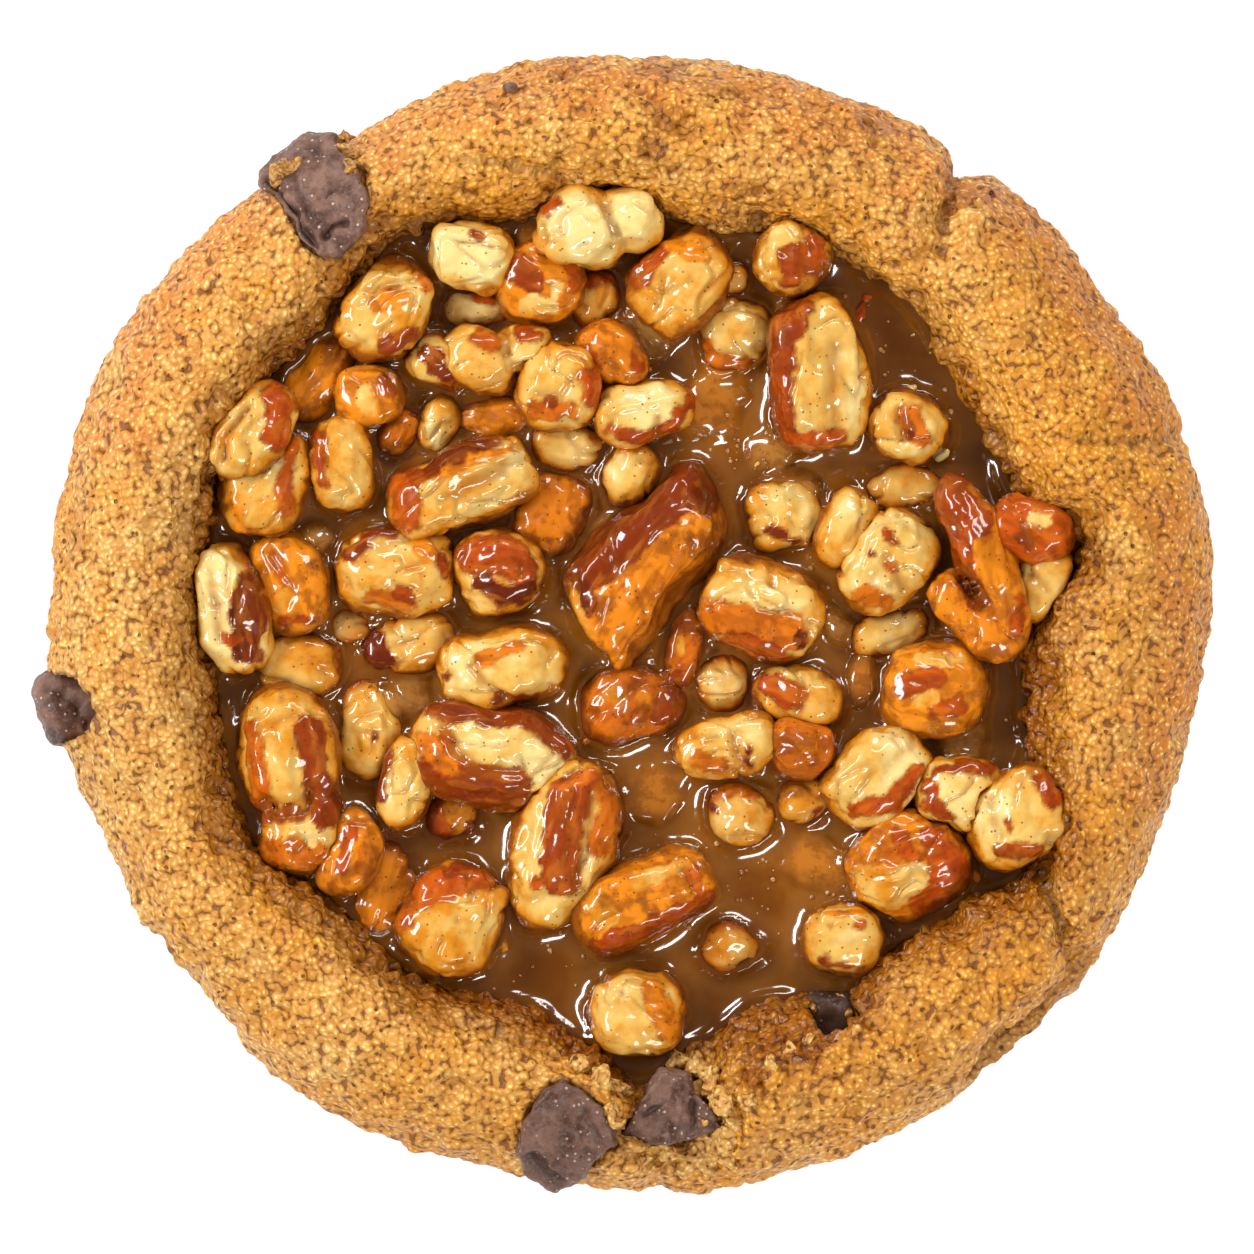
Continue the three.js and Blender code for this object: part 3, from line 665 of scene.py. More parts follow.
# Painted shade in the chips' grooves and ledges.
colour = paint(tree, colour, attribute(tree, "fold"), 0.7, (34, 18, 12))
melt = attribute(tree, "melt")
colour = paint(tree, colour, melt, 0.7, (50, 34, 26))
dull = remap(tree, bloom, 0.3, 0.7, 0.34, 0.55)
bumped = raise_bump(tree, grain(tree, place, 1.1, 5, 0.6), 0.3, 0.6)
bumped = raise_bump(tree, fine_dust, 0.08, 0.6, bumped)
bumped = raise_bump(tree, dusted, 0.12, 0.8, bumped)
set_inputs(tree, shader, {
    "Base Color": colour, "Roughness": calculate(tree, "MULTIPLY_ADD", melt, -0.26, dull),
    "Specular IOR Level": 0.3, "Normal": bumped,
})

chips = []
for seed, (name, grooves) in enumerate(CHIP_GROOVES.items()):
    if name in FLAT_CHIPS:
        crest, outline = FLAT_CHIPS[name]
        bm = bmesh.new()
        corners = [bm.verts.new((x * MM, y * MM, 0)) for x, y in outline]
        bmesh.ops.contextual_create(bm, geom=corners)
        below = bmesh.ops.extrude_face_region(bm, geom=bm.faces[:])["geom"]
        below = [v for v in below if isinstance(v, bmesh.types.BMVert)]
        bmesh.ops.translate(bm, verts=below, vec=(0, 0, -FLAKE_THICKNESS * MM))
        bmesh.ops.recalc_face_normals(bm, faces=bm.faces)
        chip = new_piece(name + "_set", bm)
        round_off(chip, FLAKE_VOXEL, 12, 0.05)
        flake = places(chip.data)
        flake[:, 2] += back_of_rim(flake[:, 0], flake[:, 1], crest)
        put_places(chip.data, flake)
        dents = 0.25
    else:
        chip = soften_copy(name, name + "_set", steps=6, swell=0.12)
        dents = 0.5
    melted = MELTED.get(name, 0.0)
    if melted == 1:
        middle = np.array(ROUND_CHIPS[name][0])
        spread = (places(chip.data) - middle) * MELTED_SPREAD
        put_places(chip.data, middle + spread - [0, 0, MELTED_SINK])
    skin, facing = places(chip.data), normals(chip.data)
    press, fold = press_grooves(skin, facing, grooves, 20 + seed, 0.5)
    press -= dents * rough_field(skin, 4, 20 + seed) + 0.2 * rough_field(skin, 1.3, 30 + seed)
    skin[:, 0] += 0.5 * rough_field(skin, 2.4, 31 + seed, 2) * (np.abs(facing[:, 2]) < 0.9)
    put_places(chip.data, skin - facing * press[:, None])
    put_shares(chip.data, fold=fold, melt=melted)
    chip.data.materials.append(chocolate)
    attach(chip, "root")
    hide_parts(name)
    chips.append(chip)

# A crumb of the same chocolate, baked into the top of the rim.
SPECK_AT = (-11.6, 51.8, 24.9)
SPECK_RADIUS = 0.55
bm = bmesh.new()
bmesh.ops.create_icosphere(bm, subdivisions=3, radius=SPECK_RADIUS * MM)
bmesh.ops.translate(bm, verts=bm.verts, vec=[at * MM for at in SPECK_AT])
speck = new_piece("chip_speck", bm)
flecked = places(speck.data)
put_places(speck.data, flecked + normals(speck.data) * (0.4 * rough_field(flecked, 0.8, 36, 2))[:, None])
put_shares(speck.data, fold=0, melt=0)
speck.data.materials.append(chocolate)
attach(speck, "root")

# ---------------------------------------------------------------- loose crumbs
# Bits of the same dough that broke off where the rim split and baked on to the chips and round the
# tear at the bottom. Each is a little clump of the crumb.

# Plan place and size of each.
LOOSE_CRUMBS = [
    (-33.2, 43.9, 2.8), (-34.2, 43, 1.8), (-32.6, 44.6, 1.5), (-28, 46.8, 2.9), (-27.3, 45.3, 2.5),
    (-26.9, 44, 1.9), (-27.4, 47, 2.2), (6.6, -43.6, 2.9), (8, -44.8, 3.2), (9.3, -46.2, 3),
    (10.2, -47.8, 2.8), (6.7, -45.4, 2), (8.3, -46.4, 2), (9.2, -48.1, 1.8), (3.2, -51.2, 2.2),
    (2.6, -52.5, 2), (4.6, -51.3, 2.7), (6.2, -51.1, 3.2), (7.8, -50.6, 3.2), (9.4, -49.9, 3),
    (5.4, -52.8, 2.4), (7.4, -52.4, 2.8), (9.4, -51.8, 2.8), (1.4, -51.7, 1.8), (-1.3, -45.4, 2.6),
    (-1.5, -47.2, 2.2), (-0.8, -48.6, 1.5), (-2.9, -44.4, 2.8), (7.2, -48.4, 0.8), (7.5, -47.1, 0.7),
    (-4.6, -43.2, 2.6), (-0.4, -44, 1.6), (3, -42.6, 2), (4.6, -42.4, 2.2), (11.2, -46, 2.2),
    (13.6, -42.4, 1.6), (15.4, -41.4, 1.4), (17.2, -40.4, 1.5), (22, -39.6, 1.4), (20.6, -36.4, 1),
    (18, -37.6, 0.9), (21.4, -37.8, 0.8),
]
bm = bmesh.new()
for piece in [crust, *chips]:
    bm.from_mesh(piece.data)
ground = BVHTree.FromBMesh(bm)
bm.free()
bm = bmesh.new()
for x, y, size in LOOSE_CRUMBS:
    found = ground.ray_cast(Vector((x, y, 60)) * MM, Vector((0, 0, -1)))[0]
    clump = bmesh.ops.create_icosphere(bm, subdivisions=3, radius=size / 2 * MM)["verts"]
    bmesh.ops.scale(bm, verts=clump, vec=(1, 1, 0.8))
    bmesh.ops.translate(bm, verts=clump, vec=found)
crumbs = new_piece("loose_crumbs", bm)
clumps = places(crumbs.data)
uneven = 0.7 * rough_field(clumps, 1.4, 230, 2)
put_places(crumbs.data, clumps + normals(crumbs.data) * uneven[:, None])
put_shares(crumbs.data, toast=0, scorch=0, tear=0, wet=0.5 * (clumps[:, 1] > 0))
crumbs.modifiers.new("crumb", "NODES").node_group = crumb
apply_modifiers(crumbs)
crumbs.data.materials.append(baked_crumb)
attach(crumbs, "root")

# ---------------------------------------------------------------- pecans
# Broken and chopped pecan kernels, stirred into the filling and baked, so that each shows cream
# flesh where it broke and a toasted skin where it didn't. All are glazed with caramel, and they
# lie crossed and pressed together, about a third of each in the caramel.

# Each kernel: how ochre its flesh is, how dark its skin is all over (None is bare flesh), then its
# patches as a plan route, half width and darkness (None bares the flesh), then its grooves as a
# route, half width and depth. A groove of negative depth is a ridge.
PECANS = {
    "pecan_01": (0.3, 0.12, [
        ([(-3.4, 5.4), (1, 9.7), (6.2, 13.9)], 2.2, 0.8), ([(-5.9, 4.6), (-4, 1.6)], 1.1, 0.9),
        ([(7.3, 11.4), (7.2, 12)], 1.1, 0.95), ([(7.9, 8.7), (7.9, 7.4)], 0.9, None),
        ([(-6.3, 3.2), (-4.2, -1.4), (-3, -3.4)], 0.75, None), ([(2.4, 2.1), (1, -2.2)], 0.7, 0.12),
        ([(4.6, 6.5), (3.4, 2.5)], 0.6, 0.2),
    ], [
        ([(-4.6, 4.6), (1.6, 10.6), (6.6, 14.4)], 0.8, -0.35), ([(5.6, 12.1), (7.6, 10.6)], 0.4, 0.5),
        ([(-3.6, 1.6), (-0.6, -3.4)], 0.7, -0.3), ([(1.6, 5), (3, -1)], 0.7, 0.25),
    ]),
    "pecan_02": (0.0, None, [
        ([(16.2, 31), (14.9, 27)], 1.6, 0.72), ([(14.9, 26), (14.6, 22.1), (15.5, 18.6)], 1.1, 0.68),
        ([(15.6, 17.9), (20.2, 18)], 0.7, 0.45),
    ], [
        ([(20, 26.5), (19.6, 22), (20.2, 18.8)], 0.8, 0.5),
        ([(17.3, 30.5), (16.7, 25), (15.9, 19)], 0.7, -0.4), ([(22.4, 28.3), (22.6, 27.9)], 0.6, 0.5),
        ([(23.2, 24.4), (23.4, 24)], 0.6, 0.5), ([(21.6, 31), (21.9, 23)], 0.6, -0.3),
    ]),
    "pecan_03": (0.0, None, [
        ([(-22.2, 13.6), (-21.5, 10.7)], 1.4, 0.4), ([(-18.6, 14.4), (-11.7, 17)], 0.7, 0.02),
        ([(-19.6, 14.6), (-16.6, 16.3), (-13.2, 17.7)], 0.75, 0.92),
        ([(-21, 14.4), (-20.6, 13.6)], 0.8, 0.7),
    ], [
        ([(-17.9, 11.8), (-12.2, 14.6)], 0.8, 0.5), ([(-19.7, 13), (-9.8, 16.8)], 0.55, -0.6),
        ([(-19.4, 15.4), (-12.6, 18)], 0.5, -0.3),
    ]),
    "pecan_04": (-0.2, None, [
        ([(-18.7, -8.6), (-12.7, -8.9), (-7.8, -10), (-6.3, -12)], 1.1, 0.78),
        ([(-18.6, -14.2), (-14.6, -15.6), (-11.2, -16)], 1.9, 0.78),
        ([(-19.5, -11.8), (-17.6, -13.6)], 1.2, 0.22), ([(-18, -10.6), (-17.4, -12.6)], 0.4, 0.5),
    ], [
        ([(-18, -9.9), (-16.9, -12.6), (-14.4, -14.2), (-10.6, -14.8)], 0.6, 0.6),
        ([(-16.6, -10.9), (-11, -12.3), (-7.4, -13.2)], 0.8, -0.35),
        ([(-9.6, -10), (-7, -12.2)], 0.5, 0.3),
    ]),
    "pecan_05": (0.1, None, [
        ([(-5.6, -16.4), (-6.6, -20), (-6.6, -24.6)], 2.0, 0.7),
        ([(-3.4, -15.4), (-2, -17.6), (-3, -22)], 0.9, 0.3), ([(-6.2, -15.7), (-3.6, -15.1)], 0.6, 0.35),
        ([(-5.4, -18.8), (-5.6, -21)], 0.5, 0.35), ([(-9.4, -25), (-9, -25.4)], 0.5, 0.4),
    ], [
        ([(-3.6, -17), (-3.9, -21), (-4.8, -24.6)], 0.6, 0.5), ([(-8.6, -17), (-9.2, -22)], 0.7, -0.4),
        ([(-5.2, -17.6), (-6.4, -23.6)], 0.5, 0.35),
    ]),
    "pecan_06": (0.4, 0.08, [
        ([(-2.9, -27.6), (-2.4, -28.4)], 1.3, None),
        ([(-2.9, -31.3), (2.9, -29.3), (7.3, -27)], 1.0, 0.62), ([(1, -25.4), (4.8, -23.7)], 0.8, None),
        ([(6, -24.4), (6.6, -26)], 0.6, 0.4),
    ], [
        ([(-2.4, -26), (4.9, -23.4)], 0.7, -0.35), ([(5.4, -24), (6.2, -26)], 0.4, 0.5),
    ]),
    "pecan_07": (0.15, None, [
        ([(-31.2, -10.5), (-30.6, -14.9), (-29.5, -19)], 1.25, 0.75),
        ([(-37.1, -10.3), (-36, -14.9), (-35.6, -18.8)], 1.1, 0.35),
        ([(-34.6, -18.6), (-32.2, -18.6)], 0.8, 0.8), ([(-34, -22.2), (-30.4, -22.7)], 1.6, 0.28),
        ([(-31.2, -20.5), (-31, -21)], 0.9, None), ([(-34, -20.4), (-33.6, -20.8)], 0.5, None),
    ], [
        ([(-35.2, -17.6), (-33.6, -18.9), (-31.6, -18.4), (-30.8, -16.4)], 0.7, 1.1),
        ([(-35.6, -10.4), (-32.2, -8.9)], 0.4, 0.4), ([(-33.6, -11), (-33, -17)], 0.8, -0.3),
    ]),
    "pecan_08": (0.2, 0.15, [
        ([(30.2, 12.7), (32.6, 9.3)], 2.3, 0.66), ([(32, 7), (33.2, 4.4)], 1.0, 0.6),
        ([(34.4, 7.3), (36.2, 2.4)], 1.2, 0.02), ([(32.6, 4), (33.6, 2.1)], 0.8, 0.8),
        ([(37.9, 2.1), (37.5, -0.8)], 0.6, 0.45), ([(30, 2.4), (32, 0)], 0.7, 0.0),
    ], [
        ([(30.6, 6.9), (32.6, 4.1), (34.4, 1.6)], 0.7, 1.1), ([(31, 12.4), (35.8, 4)], 0.7, -0.3),
    ]),
    "pecan_09": (-0.2, None, [
        ([(-36.4, 4.9), (-37.6, 1.2), (-37.3, -2.9)], 1.15, 0.96), ([(-35.6, 2), (-36.4, -3)], 0.9, 0.85),
        ([(-39.4, -1.4), (-38.2, -1.9)], 0.45, 0.6),
    ], [
        ([(-40.6, 3.6), (-39.9, -2)], 0.55, 0.5), ([(-38.4, 5.2), (-39, 1), (-38.6, -3)], 0.5, -0.45),
        ([(-37.2, 5.2), (-38.2, 0), (-37.4, -3.6)], 0.35, 0.35),
    ]),
    "pecan_10": (0.0, None, [
        ([(8.3, 0.3), (12.7, -0.7), (15.6, -1.3)], 1.9, 0.25), ([(9.4, -1.9), (15, -3.5)], 0.9, 0.62),
        ([(16.9, -1.6), (16.8, -2.2)], 0.6, 1.0), ([(15.3, 0.6), (16.6, 0.7)], 0.35, 0.1),
    ], [
        ([(9, 5.5), (13.7, 4.7), (17.2, 2.6)], 0.6, -0.4), ([(8.6, 2), (12, 1.4), (17, 0.9)], 0.5, 0.25),
        ([(13.6, 4.9), (13.9, 3.9)], 0.4, 0.4),
    ]),
    "pecan_11": (0.05, None, [
        ([(-27.1, 6.5), (-24.9, 8.8), (-21.5, 9.5)], 0.7, 0.82),
        ([(-25.1, 2.5), (-21.9, 1.8)], 0.9, 0.25), ([(-22.2, 2.9), (-21.6, 2.5)], 0.5, 0.6),
        ([(-18.2, 6), (-17.7, 4.6)], 0.65, 0.7), ([(-20.6, 8), (-19.6, 6.6)], 0.8, 0.0),
    ], [
        ([(-26.4, 6), (-24, 7.8), (-21.4, 8.3)], 0.5, 0.3),
    ]),
    "pecan_12": (0.05, 0.12, [
        ([(29.4, -21.2), (31, -24), (28.4, -27.2)], 1.4, 0.5), ([(26.2, -21), (27.4, -22.6)], 0.9, 0.5),
        ([(22.6, -25.2), (25.4, -26.4), (27.4, -24.8)], 1.6, None),
        ([(24.8, -22), (25.6, -23)], 0.4, 0.3),
    ], [
        ([(24.6, -22.6), (26.6, -23.6), (29, -24.4)], 0.5, 0.35), ([(25.4, -25), (28, -24)], 0.7, -0.3),
    ]),
    "pecan_13": (0.25, None, [
        ([(-20, -26.3), (-17.1, -25), (-14.4, -24.2)], 1.6, 0.42),
        ([(-21.6, -27), (-22, -29)], 0.9, 0.35), ([(-17.6, -24.6), (-15.6, -24.4)], 0.6, 0.7),
    ], [
        ([(-21, -27.6), (-18, -26.4), (-14.6, -26)], 0.5, 0.3),
    ]),
    "pecan_14": (0.15, None, [
        ([(-24.6, 31), (-22.4, 31.6)], 0.9, 0.0), ([(-19.9, 34), (-19.6, 32.4)], 0.7, 0.3),
        ([(-21.3, 28.2), (-23.7, 26.7)], 0.9, 0.72), ([(-23.4, 32.5), (-22.4, 32.7)], 0.3, 0.6),
    ], [
        ([(-25.6, 32), (-20.6, 33.6)], 0.45, 0.4), ([(-24, 28.6), (-21.6, 30.2)], 0.8, -0.3),
    ]),
    "pecan_15": (-0.4, None, [
        ([(-15.2, 38.2), (-14.4, 37.7)], 0.3, 0.75),
    ], [
        ([(-14.9, 37.6), (-13.4, 36.4)], 0.35, 0.5),
    ]),
    "pecan_16": (-0.4, None, [
        ([(-8.3, 40), (-7.3, 40.8)], 0.6, 0.6), ([(0.6, 36.6), (1.6, 36.4)], 0.6, None),
    ], [
        ([(-2.6, 40.9), (-1.3, 37.4)], 0.5, 0.9),
    ]),
    "pecan_17": (0.1, 0.1, [
        ([(-11, 34.5), (-9.4, 33)], 1.1, 0.72), ([(-6.9, 32.6), (-7.3, 31.4)], 0.7, None),
        ([(-9.9, 30.8), (-7.6, 30.7)], 0.85, None), ([(-6, 34.2), (-5.3, 32.4)], 0.6, 0.4),
    ], []),
    "pecan_18": (0.2, None, [
        ([(1.1, 33.3), (2.9, 35.8)], 1.05, 0.56), ([(3.9, 37), (6.8, 35.8)], 1.0, 0.06),
    ], [
        ([(2, 32), (4, 35.4)], 0.6, -0.25),
    ]),
    "pecan_19": (0.05, None, [
        ([(18, 37.2), (17.7, 34.3)], 0.9, 0.6), ([(15.1, 35.6), (15.6, 33.2)], 0.8, 0.66),
        ([(16.9, 36.4), (16.8, 34)], 0.5, 0.42),
    ], [
        ([(16.2, 37.6), (15.9, 34)], 0.5, -0.35),
    ]),
    "pecan_20": (0.05, None, [([(-19.4, 25.9), (-17.6, 23.6)], 1.1, 0.8)], []),
    "pecan_21": (0.0, None, [
        ([(-14.8, 27.6), (-13.5, 27)], 0.8, 0.35), ([(-10.7, 28.3), (-9, 27.9)], 0.7, 0.65),
    ], [
        ([(-12.3, 28.4), (-11.9, 26)], 0.5, 0.7),
    ]),
    "pecan_22": (0.0, None, [
        ([(-9.3, 20.4), (-5.9, 20.4)], 1.0, 0.3), ([(-4.2, 23.6), (-3.6, 21.8)], 1.0, 0.5),
        ([(-8, 21.5), (-7.6, 21.2)], 0.4, 0.8),
    ], [
        ([(-9, 22), (-6.6, 21.6), (-5.2, 24)], 0.45, 0.4),
    ]),
    "pecan_23": (0.3, 0.16, [
        ([(-4.4, 26.5), (-2.9, 24.6)], 0.45, 0.6), ([(0.6, 25.8), (0.9, 24.6)], 0.45, 0.6),
    ], [
        ([(-4, 27.4), (-1.4, 24.4)], 0.4, 0.3),
    ]),
    "pecan_24": (-0.15, None, [
        ([(5.7, 21.6), (4.4, 19.2), (1.5, 17.9), (-2, 18.9)], 0.6, 0.6),
    ], [
        ([(2.6, 18), (2.9, 19.6)], 0.4, 0.5), ([(-1.6, 20.4), (4.6, 22)], 0.5, -0.3),
    ]),
    "pecan_25": (0.05, None, [([(-1.6, 16.9), (0.6, 17.1)], 0.4, 0.1)], []),
    "pecan_26": (0.2, 0.06, [
        ([(-25.6, 22), (-25.4, 20.8)], 0.9, None), ([(-23.6, 23.6), (-23.3, 22)], 0.5, 0.7),
    ], [
        ([(-24.6, 23.6), (-24, 21.4)], 0.4, 0.4),
    ]),
    "pecan_27": (0.0, None, [
        ([(-34.4, 21.9), (-33.6, 20.7), (-34.4, 17.9)], 1.25, 0.58),
    ], [
        ([(-37, 21), (-39.2, 17.8), (-39.4, 15.6)], 0.5, 1.1), ([(-39.4, 19.9), (-40.4, 17)], 0.4, 0.35),
    ]),
    "pecan_28": (0.1, None, [
        ([(-32.9, 17.2), (-33.3, 13.8), (-33.5, 11)], 0.85, 0.38),
        ([(-38.4, 12.2), (-37.6, 9.8)], 0.5, 0.0),
    ], []),
    "pecan_29": (0.1, None, [
        ([(-30, 18), (-29.8, 13.8)], 0.6, 0.68),
    ], [
        ([(-28, 18), (-27, 13)], 0.6, -0.25),
    ]),
    "pecan_30": (0.1, None, [
        ([(-15.1, 6.2), (-12.8, 6.6), (-10.7, 5.4)], 1.9, 0.6),
        ([(-14.3, 3.7), (-12.7, 2.5), (-9.9, 3)], 1.0, 0.95), ([(-12.2, 5.2), (-10.9, 4.2)], 0.5, 0.35),
    ], [
        ([(-14.6, 5), (-12.4, 5.6), (-10.6, 4.6)], 0.5, 0.4),
    ]),
    "pecan_31": (0.6, 0.3, [
        ([(-1.6, -6.8), (-1, -7.6)], 0.8, None), ([(4.4, -5.5), (2.9, -9.4)], 0.6, 0.75),
        ([(1.2, -7), (1.2, -8)], 0.5, 0.1), ([(5, -1.4), (5, -3)], 0.5, None),
    ], [
        ([(-1, -4.6), (3.6, -4.4)], 0.5, 0.3), ([(3.4, -4.6), (2.2, -9)], 0.5, 0.4),
    ]),
    "pecan_32": (0.0, None, [
        ([(-14.3, -3.4), (-11, -2.5)], 0.75, 0.2), ([(-12.7, -7.4), (-8.9, -7.8)], 0.45, 0.85),
        ([(-18.2, -5.2), (-18, -5.5)], 0.3, 0.8),
    ], [
        ([(-15.4, -4.4), (-14, -6), (-12, -7.4)], 0.45, 0.6),
    ]),
    "pecan_33": (0.5, 0.1, [
        ([(-27, -20), (-27.8, -23.8)], 0.7, 0.5), ([(-26.6, -24), (-26, -22)], 0.4, 0.3),
    ], [
        ([(-26.4, -21), (-27.4, -24)], 0.5, -0.3),
    ]),
    "pecan_34": (0.05, None, [
        ([(-25.1, -11.2), (-25, -11.5)], 0.25, 1.0),
    ], [
        ([(-26.6, -9.4), (-24.6, -8.6)], 0.5, 0.3),
    ]),
    "pecan_35": (0.0, None, [
        ([(-24, -12.4), (-24.6, -16.6)], 0.8, 0.82),
    ], [
        ([(-23.2, -13), (-23.4, -16)], 0.4, 0.4),
    ]),
    "pecan_36": (0.35, 0.02, [
        ([(-34.6, 6.5), (-33.6, 4.1)], 0.45, 0.35), ([(-33.4, 0.2), (-31.6, 0.6)], 0.5, 0.6),
        ([(-33.3, 2.2), (-33.6, 1.6)], 0.8, None),
    ], [
        ([(-34.9, 6.8), (-32.6, 3.4)], 0.45, 0.5),
    ]),
    "pecan_37": (-0.05, None, [([(2.2, -35.6), (3.2, -37.6), (3.6, -39.6)], 1.3, 0.14)], []),
    "pecan_38": (0.0, None, [
        ([(19.3, -29.4), (19.5, -29.8)], 0.3, 0.5), ([(21.6, -29.4), (22.4, -29.3)], 0.45, 0.4),
        ([(19, -32.9), (22, -33.3)], 0.3, 0.8), ([(19, -28.2), (22.4, -28)], 0.5, 0.0),
    ], []),
    "pecan_39": (-0.15, None, [
        ([(21.7, -18.4), (25.4, -17.4), (27.8, -14.6)], 0.85, 0.55),
    ], [
        ([(22.6, -13), (26.6, -12.4)], 0.8, -0.3),
    ]),
    "pecan_40": (-0.1, None, [
        ([(28.9, -15.8), (29, -17.4), (30.7, -19.1)], 0.7, 0.6),
        ([(29.5, -14.5), (32.2, -13.7), (34.6, -14.4)], 0.5, 0.66),
    ], []),
    "pecan_41": (0.0, None, [
        ([(39.6, -15.4), (40.8, -17.4)], 0.6, 0.6), ([(36.1, -22.2), (39.5, -22.2)], 0.75, 0.66),
        ([(36.4, -19.4), (36.6, -20.4)], 0.3, 0.6),
    ], [
        ([(34.6, -17), (35.6, -20.8)], 0.5, 0.4),
    ]),
    "pecan_42": (0.0, None, [
        ([(6.8, -13.4), (8.8, -13.9)], 0.85, 0.22), ([(11.3, -12.4), (11.4, -13.5)], 0.45, 1.0),
    ], [
        ([(9.9, -10.6), (10.9, -14)], 0.5, 0.6), ([(7.4, -11.4), (8.4, -11)], 0.4, 0.4),
    ]),
    "pecan_43": (0.3, 0.28, [
        ([(17.2, -11.4), (17.4, -12)], 0.7, 0.1),
    ], [
        ([(18.4, -10.6), (18.8, -13)], 0.4, 0.4),
    ]),
    "pecan_44": (0.1, None, [
        ([(14.1, -6.2), (15.8, -7.2)], 1.4, 0.6),
    ], [
        ([(16.9, -5), (16.5, -8.6)], 0.4, 0.35),
    ]),
    "pecan_45": (0.25, 0.0, [
        ([(27, -6), (29.3, -5.4)], 1.0, 0.5), ([(29.8, -8.3), (32, -8)], 0.8, 0.5),
        ([(28, -7.7), (29.4, -7.3)], 0.5, None), ([(28, -3.4), (31.8, -3.8)], 0.5, None),
    ], []),
    "pecan_46": (-0.1, None, [
        ([(22.5, 2.7), (24.6, 2)], 0.85, 0.25), ([(25.2, 5.5), (25.3, 5.2)], 0.4, 0.5),
        ([(23.2, 6.9), (23.3, 6.7)], 0.25, 0.9), ([(25.2, 8.4), (25.6, 7.7)], 0.35, 0.5),
    ], [
        ([(25, 6.3), (26.6, 3)], 0.5, 0.5), ([(22.4, 8.4), (26.4, 9.4)], 0.5, -0.35),
        ([(23.6, 4), (24.6, 6)], 0.5, 0.3),
    ]),
    "pecan_47": (-0.05, None, [], [([(21.4, 8), (23, 10.4)], 0.45, 0.4)]),
    "pecan_48": (0.05, None, [
        ([(13.7, 8.9), (16, 7.8)], 0.45, 0.85),
    ], [
        ([(14.6, 12), (16.4, 9.4)], 0.6, -0.3),
    ]),
    "pecan_49": (0.05, None, [
        ([(26.9, 20), (27.9, 18)], 1.15, 0.3), ([(26.7, 19.6), (27.2, 18)], 0.4, 0.85),
    ], [
        ([(26, 20.6), (26.4, 17.4)], 0.45, 0.7),
    ]),
    "pecan_50": (0.1, 0.42, [
        ([(39, 10), (40, 9.9)], 0.8, None), ([(37.6, 8), (38.6, 7.4)], 0.6, 0.8),
    ], [
        ([(38, 9.6), (39, 7)], 0.5, 0.6),
    ]),
    "pecan_51": (0.0, None, [], [([(39, 4.6), (40.6, 3)], 0.5, 0.4)]),
}


# Flesh can be this much paler than plain cream. The material counts its ochre from there.
PALEST_FLESH = 0.4


def lay_skin(skin, facing, seed, base, patches):
    """Where toasted skin covers a kernel, how dark it is, and where its torn edge runs."""
    ragged = 0.55 * rough_field(skin, 1.5, 100 + seed, 3) + 0.25 * rough_field(skin, 3.4, 150 + seed, 1)
    cover = np.full(len(skin), 0.0 if base is None else 1.0)
    roast = np.full(len(skin), base or 0.0)
    edge = np.zeros(len(skin))
    for route, wide, dark in patches:
        out = wide - gap_to(skin[:, 0], skin[:, 1], route) + ragged
        here = smoothstep(out, -0.12, 0.12)
        if dark is None:
            cover *= 1 - here
            edge *= 1 - here
            continue
        roast += (dark - roast) * here
        rim = np.exp(-((out / 0.16) ** 2)) * min(1, 0.25 + dark)
        edge = np.maximum(edge * (1 - here), np.where(facing[:, 2] > -0.2, rim, 0))
        cover = np.maximum(cover, here)
    return cover, roast, edge


def along_kernel(skin):
    """Points of a kernel drawn out along it, so that fields over them run like its fibres."""
    plan = skin[:, :2] - skin[:, :2].mean(0)
    grown = np.linalg.eigh(plan.T @ plan)[1][:, 1]
    return np.column_stack([plan @ grown / 4.5, plan @ [-grown[1], grown[0]], skin[:, 2]])


def crease_kernel(skin, facing, fibres, seed):
    """Fine creases along a kernel and folds between its lobes, each of them in places only."""
    crease = rough_field(fibres * [1.6, 1, 1], 3.6, 180 + seed, 1)
    crease = np.exp(-((crease / 0.06) ** 2)) * smoothstep(facing[:, 2], 0.1, 0.6)
    crease *= smoothstep(rough_field(skin, 3.5, 190 + seed, 1), -0.2, 0.2)
    lobes = 1 - smoothstep(np.abs(rough_field(skin, 3.2, 210 + seed, 1)), 0, 0.16)
    lobes *= smoothstep(rough_field(skin, 4.5, 260 + seed, 1), -0.1, 0.25)
    return crease, lobes


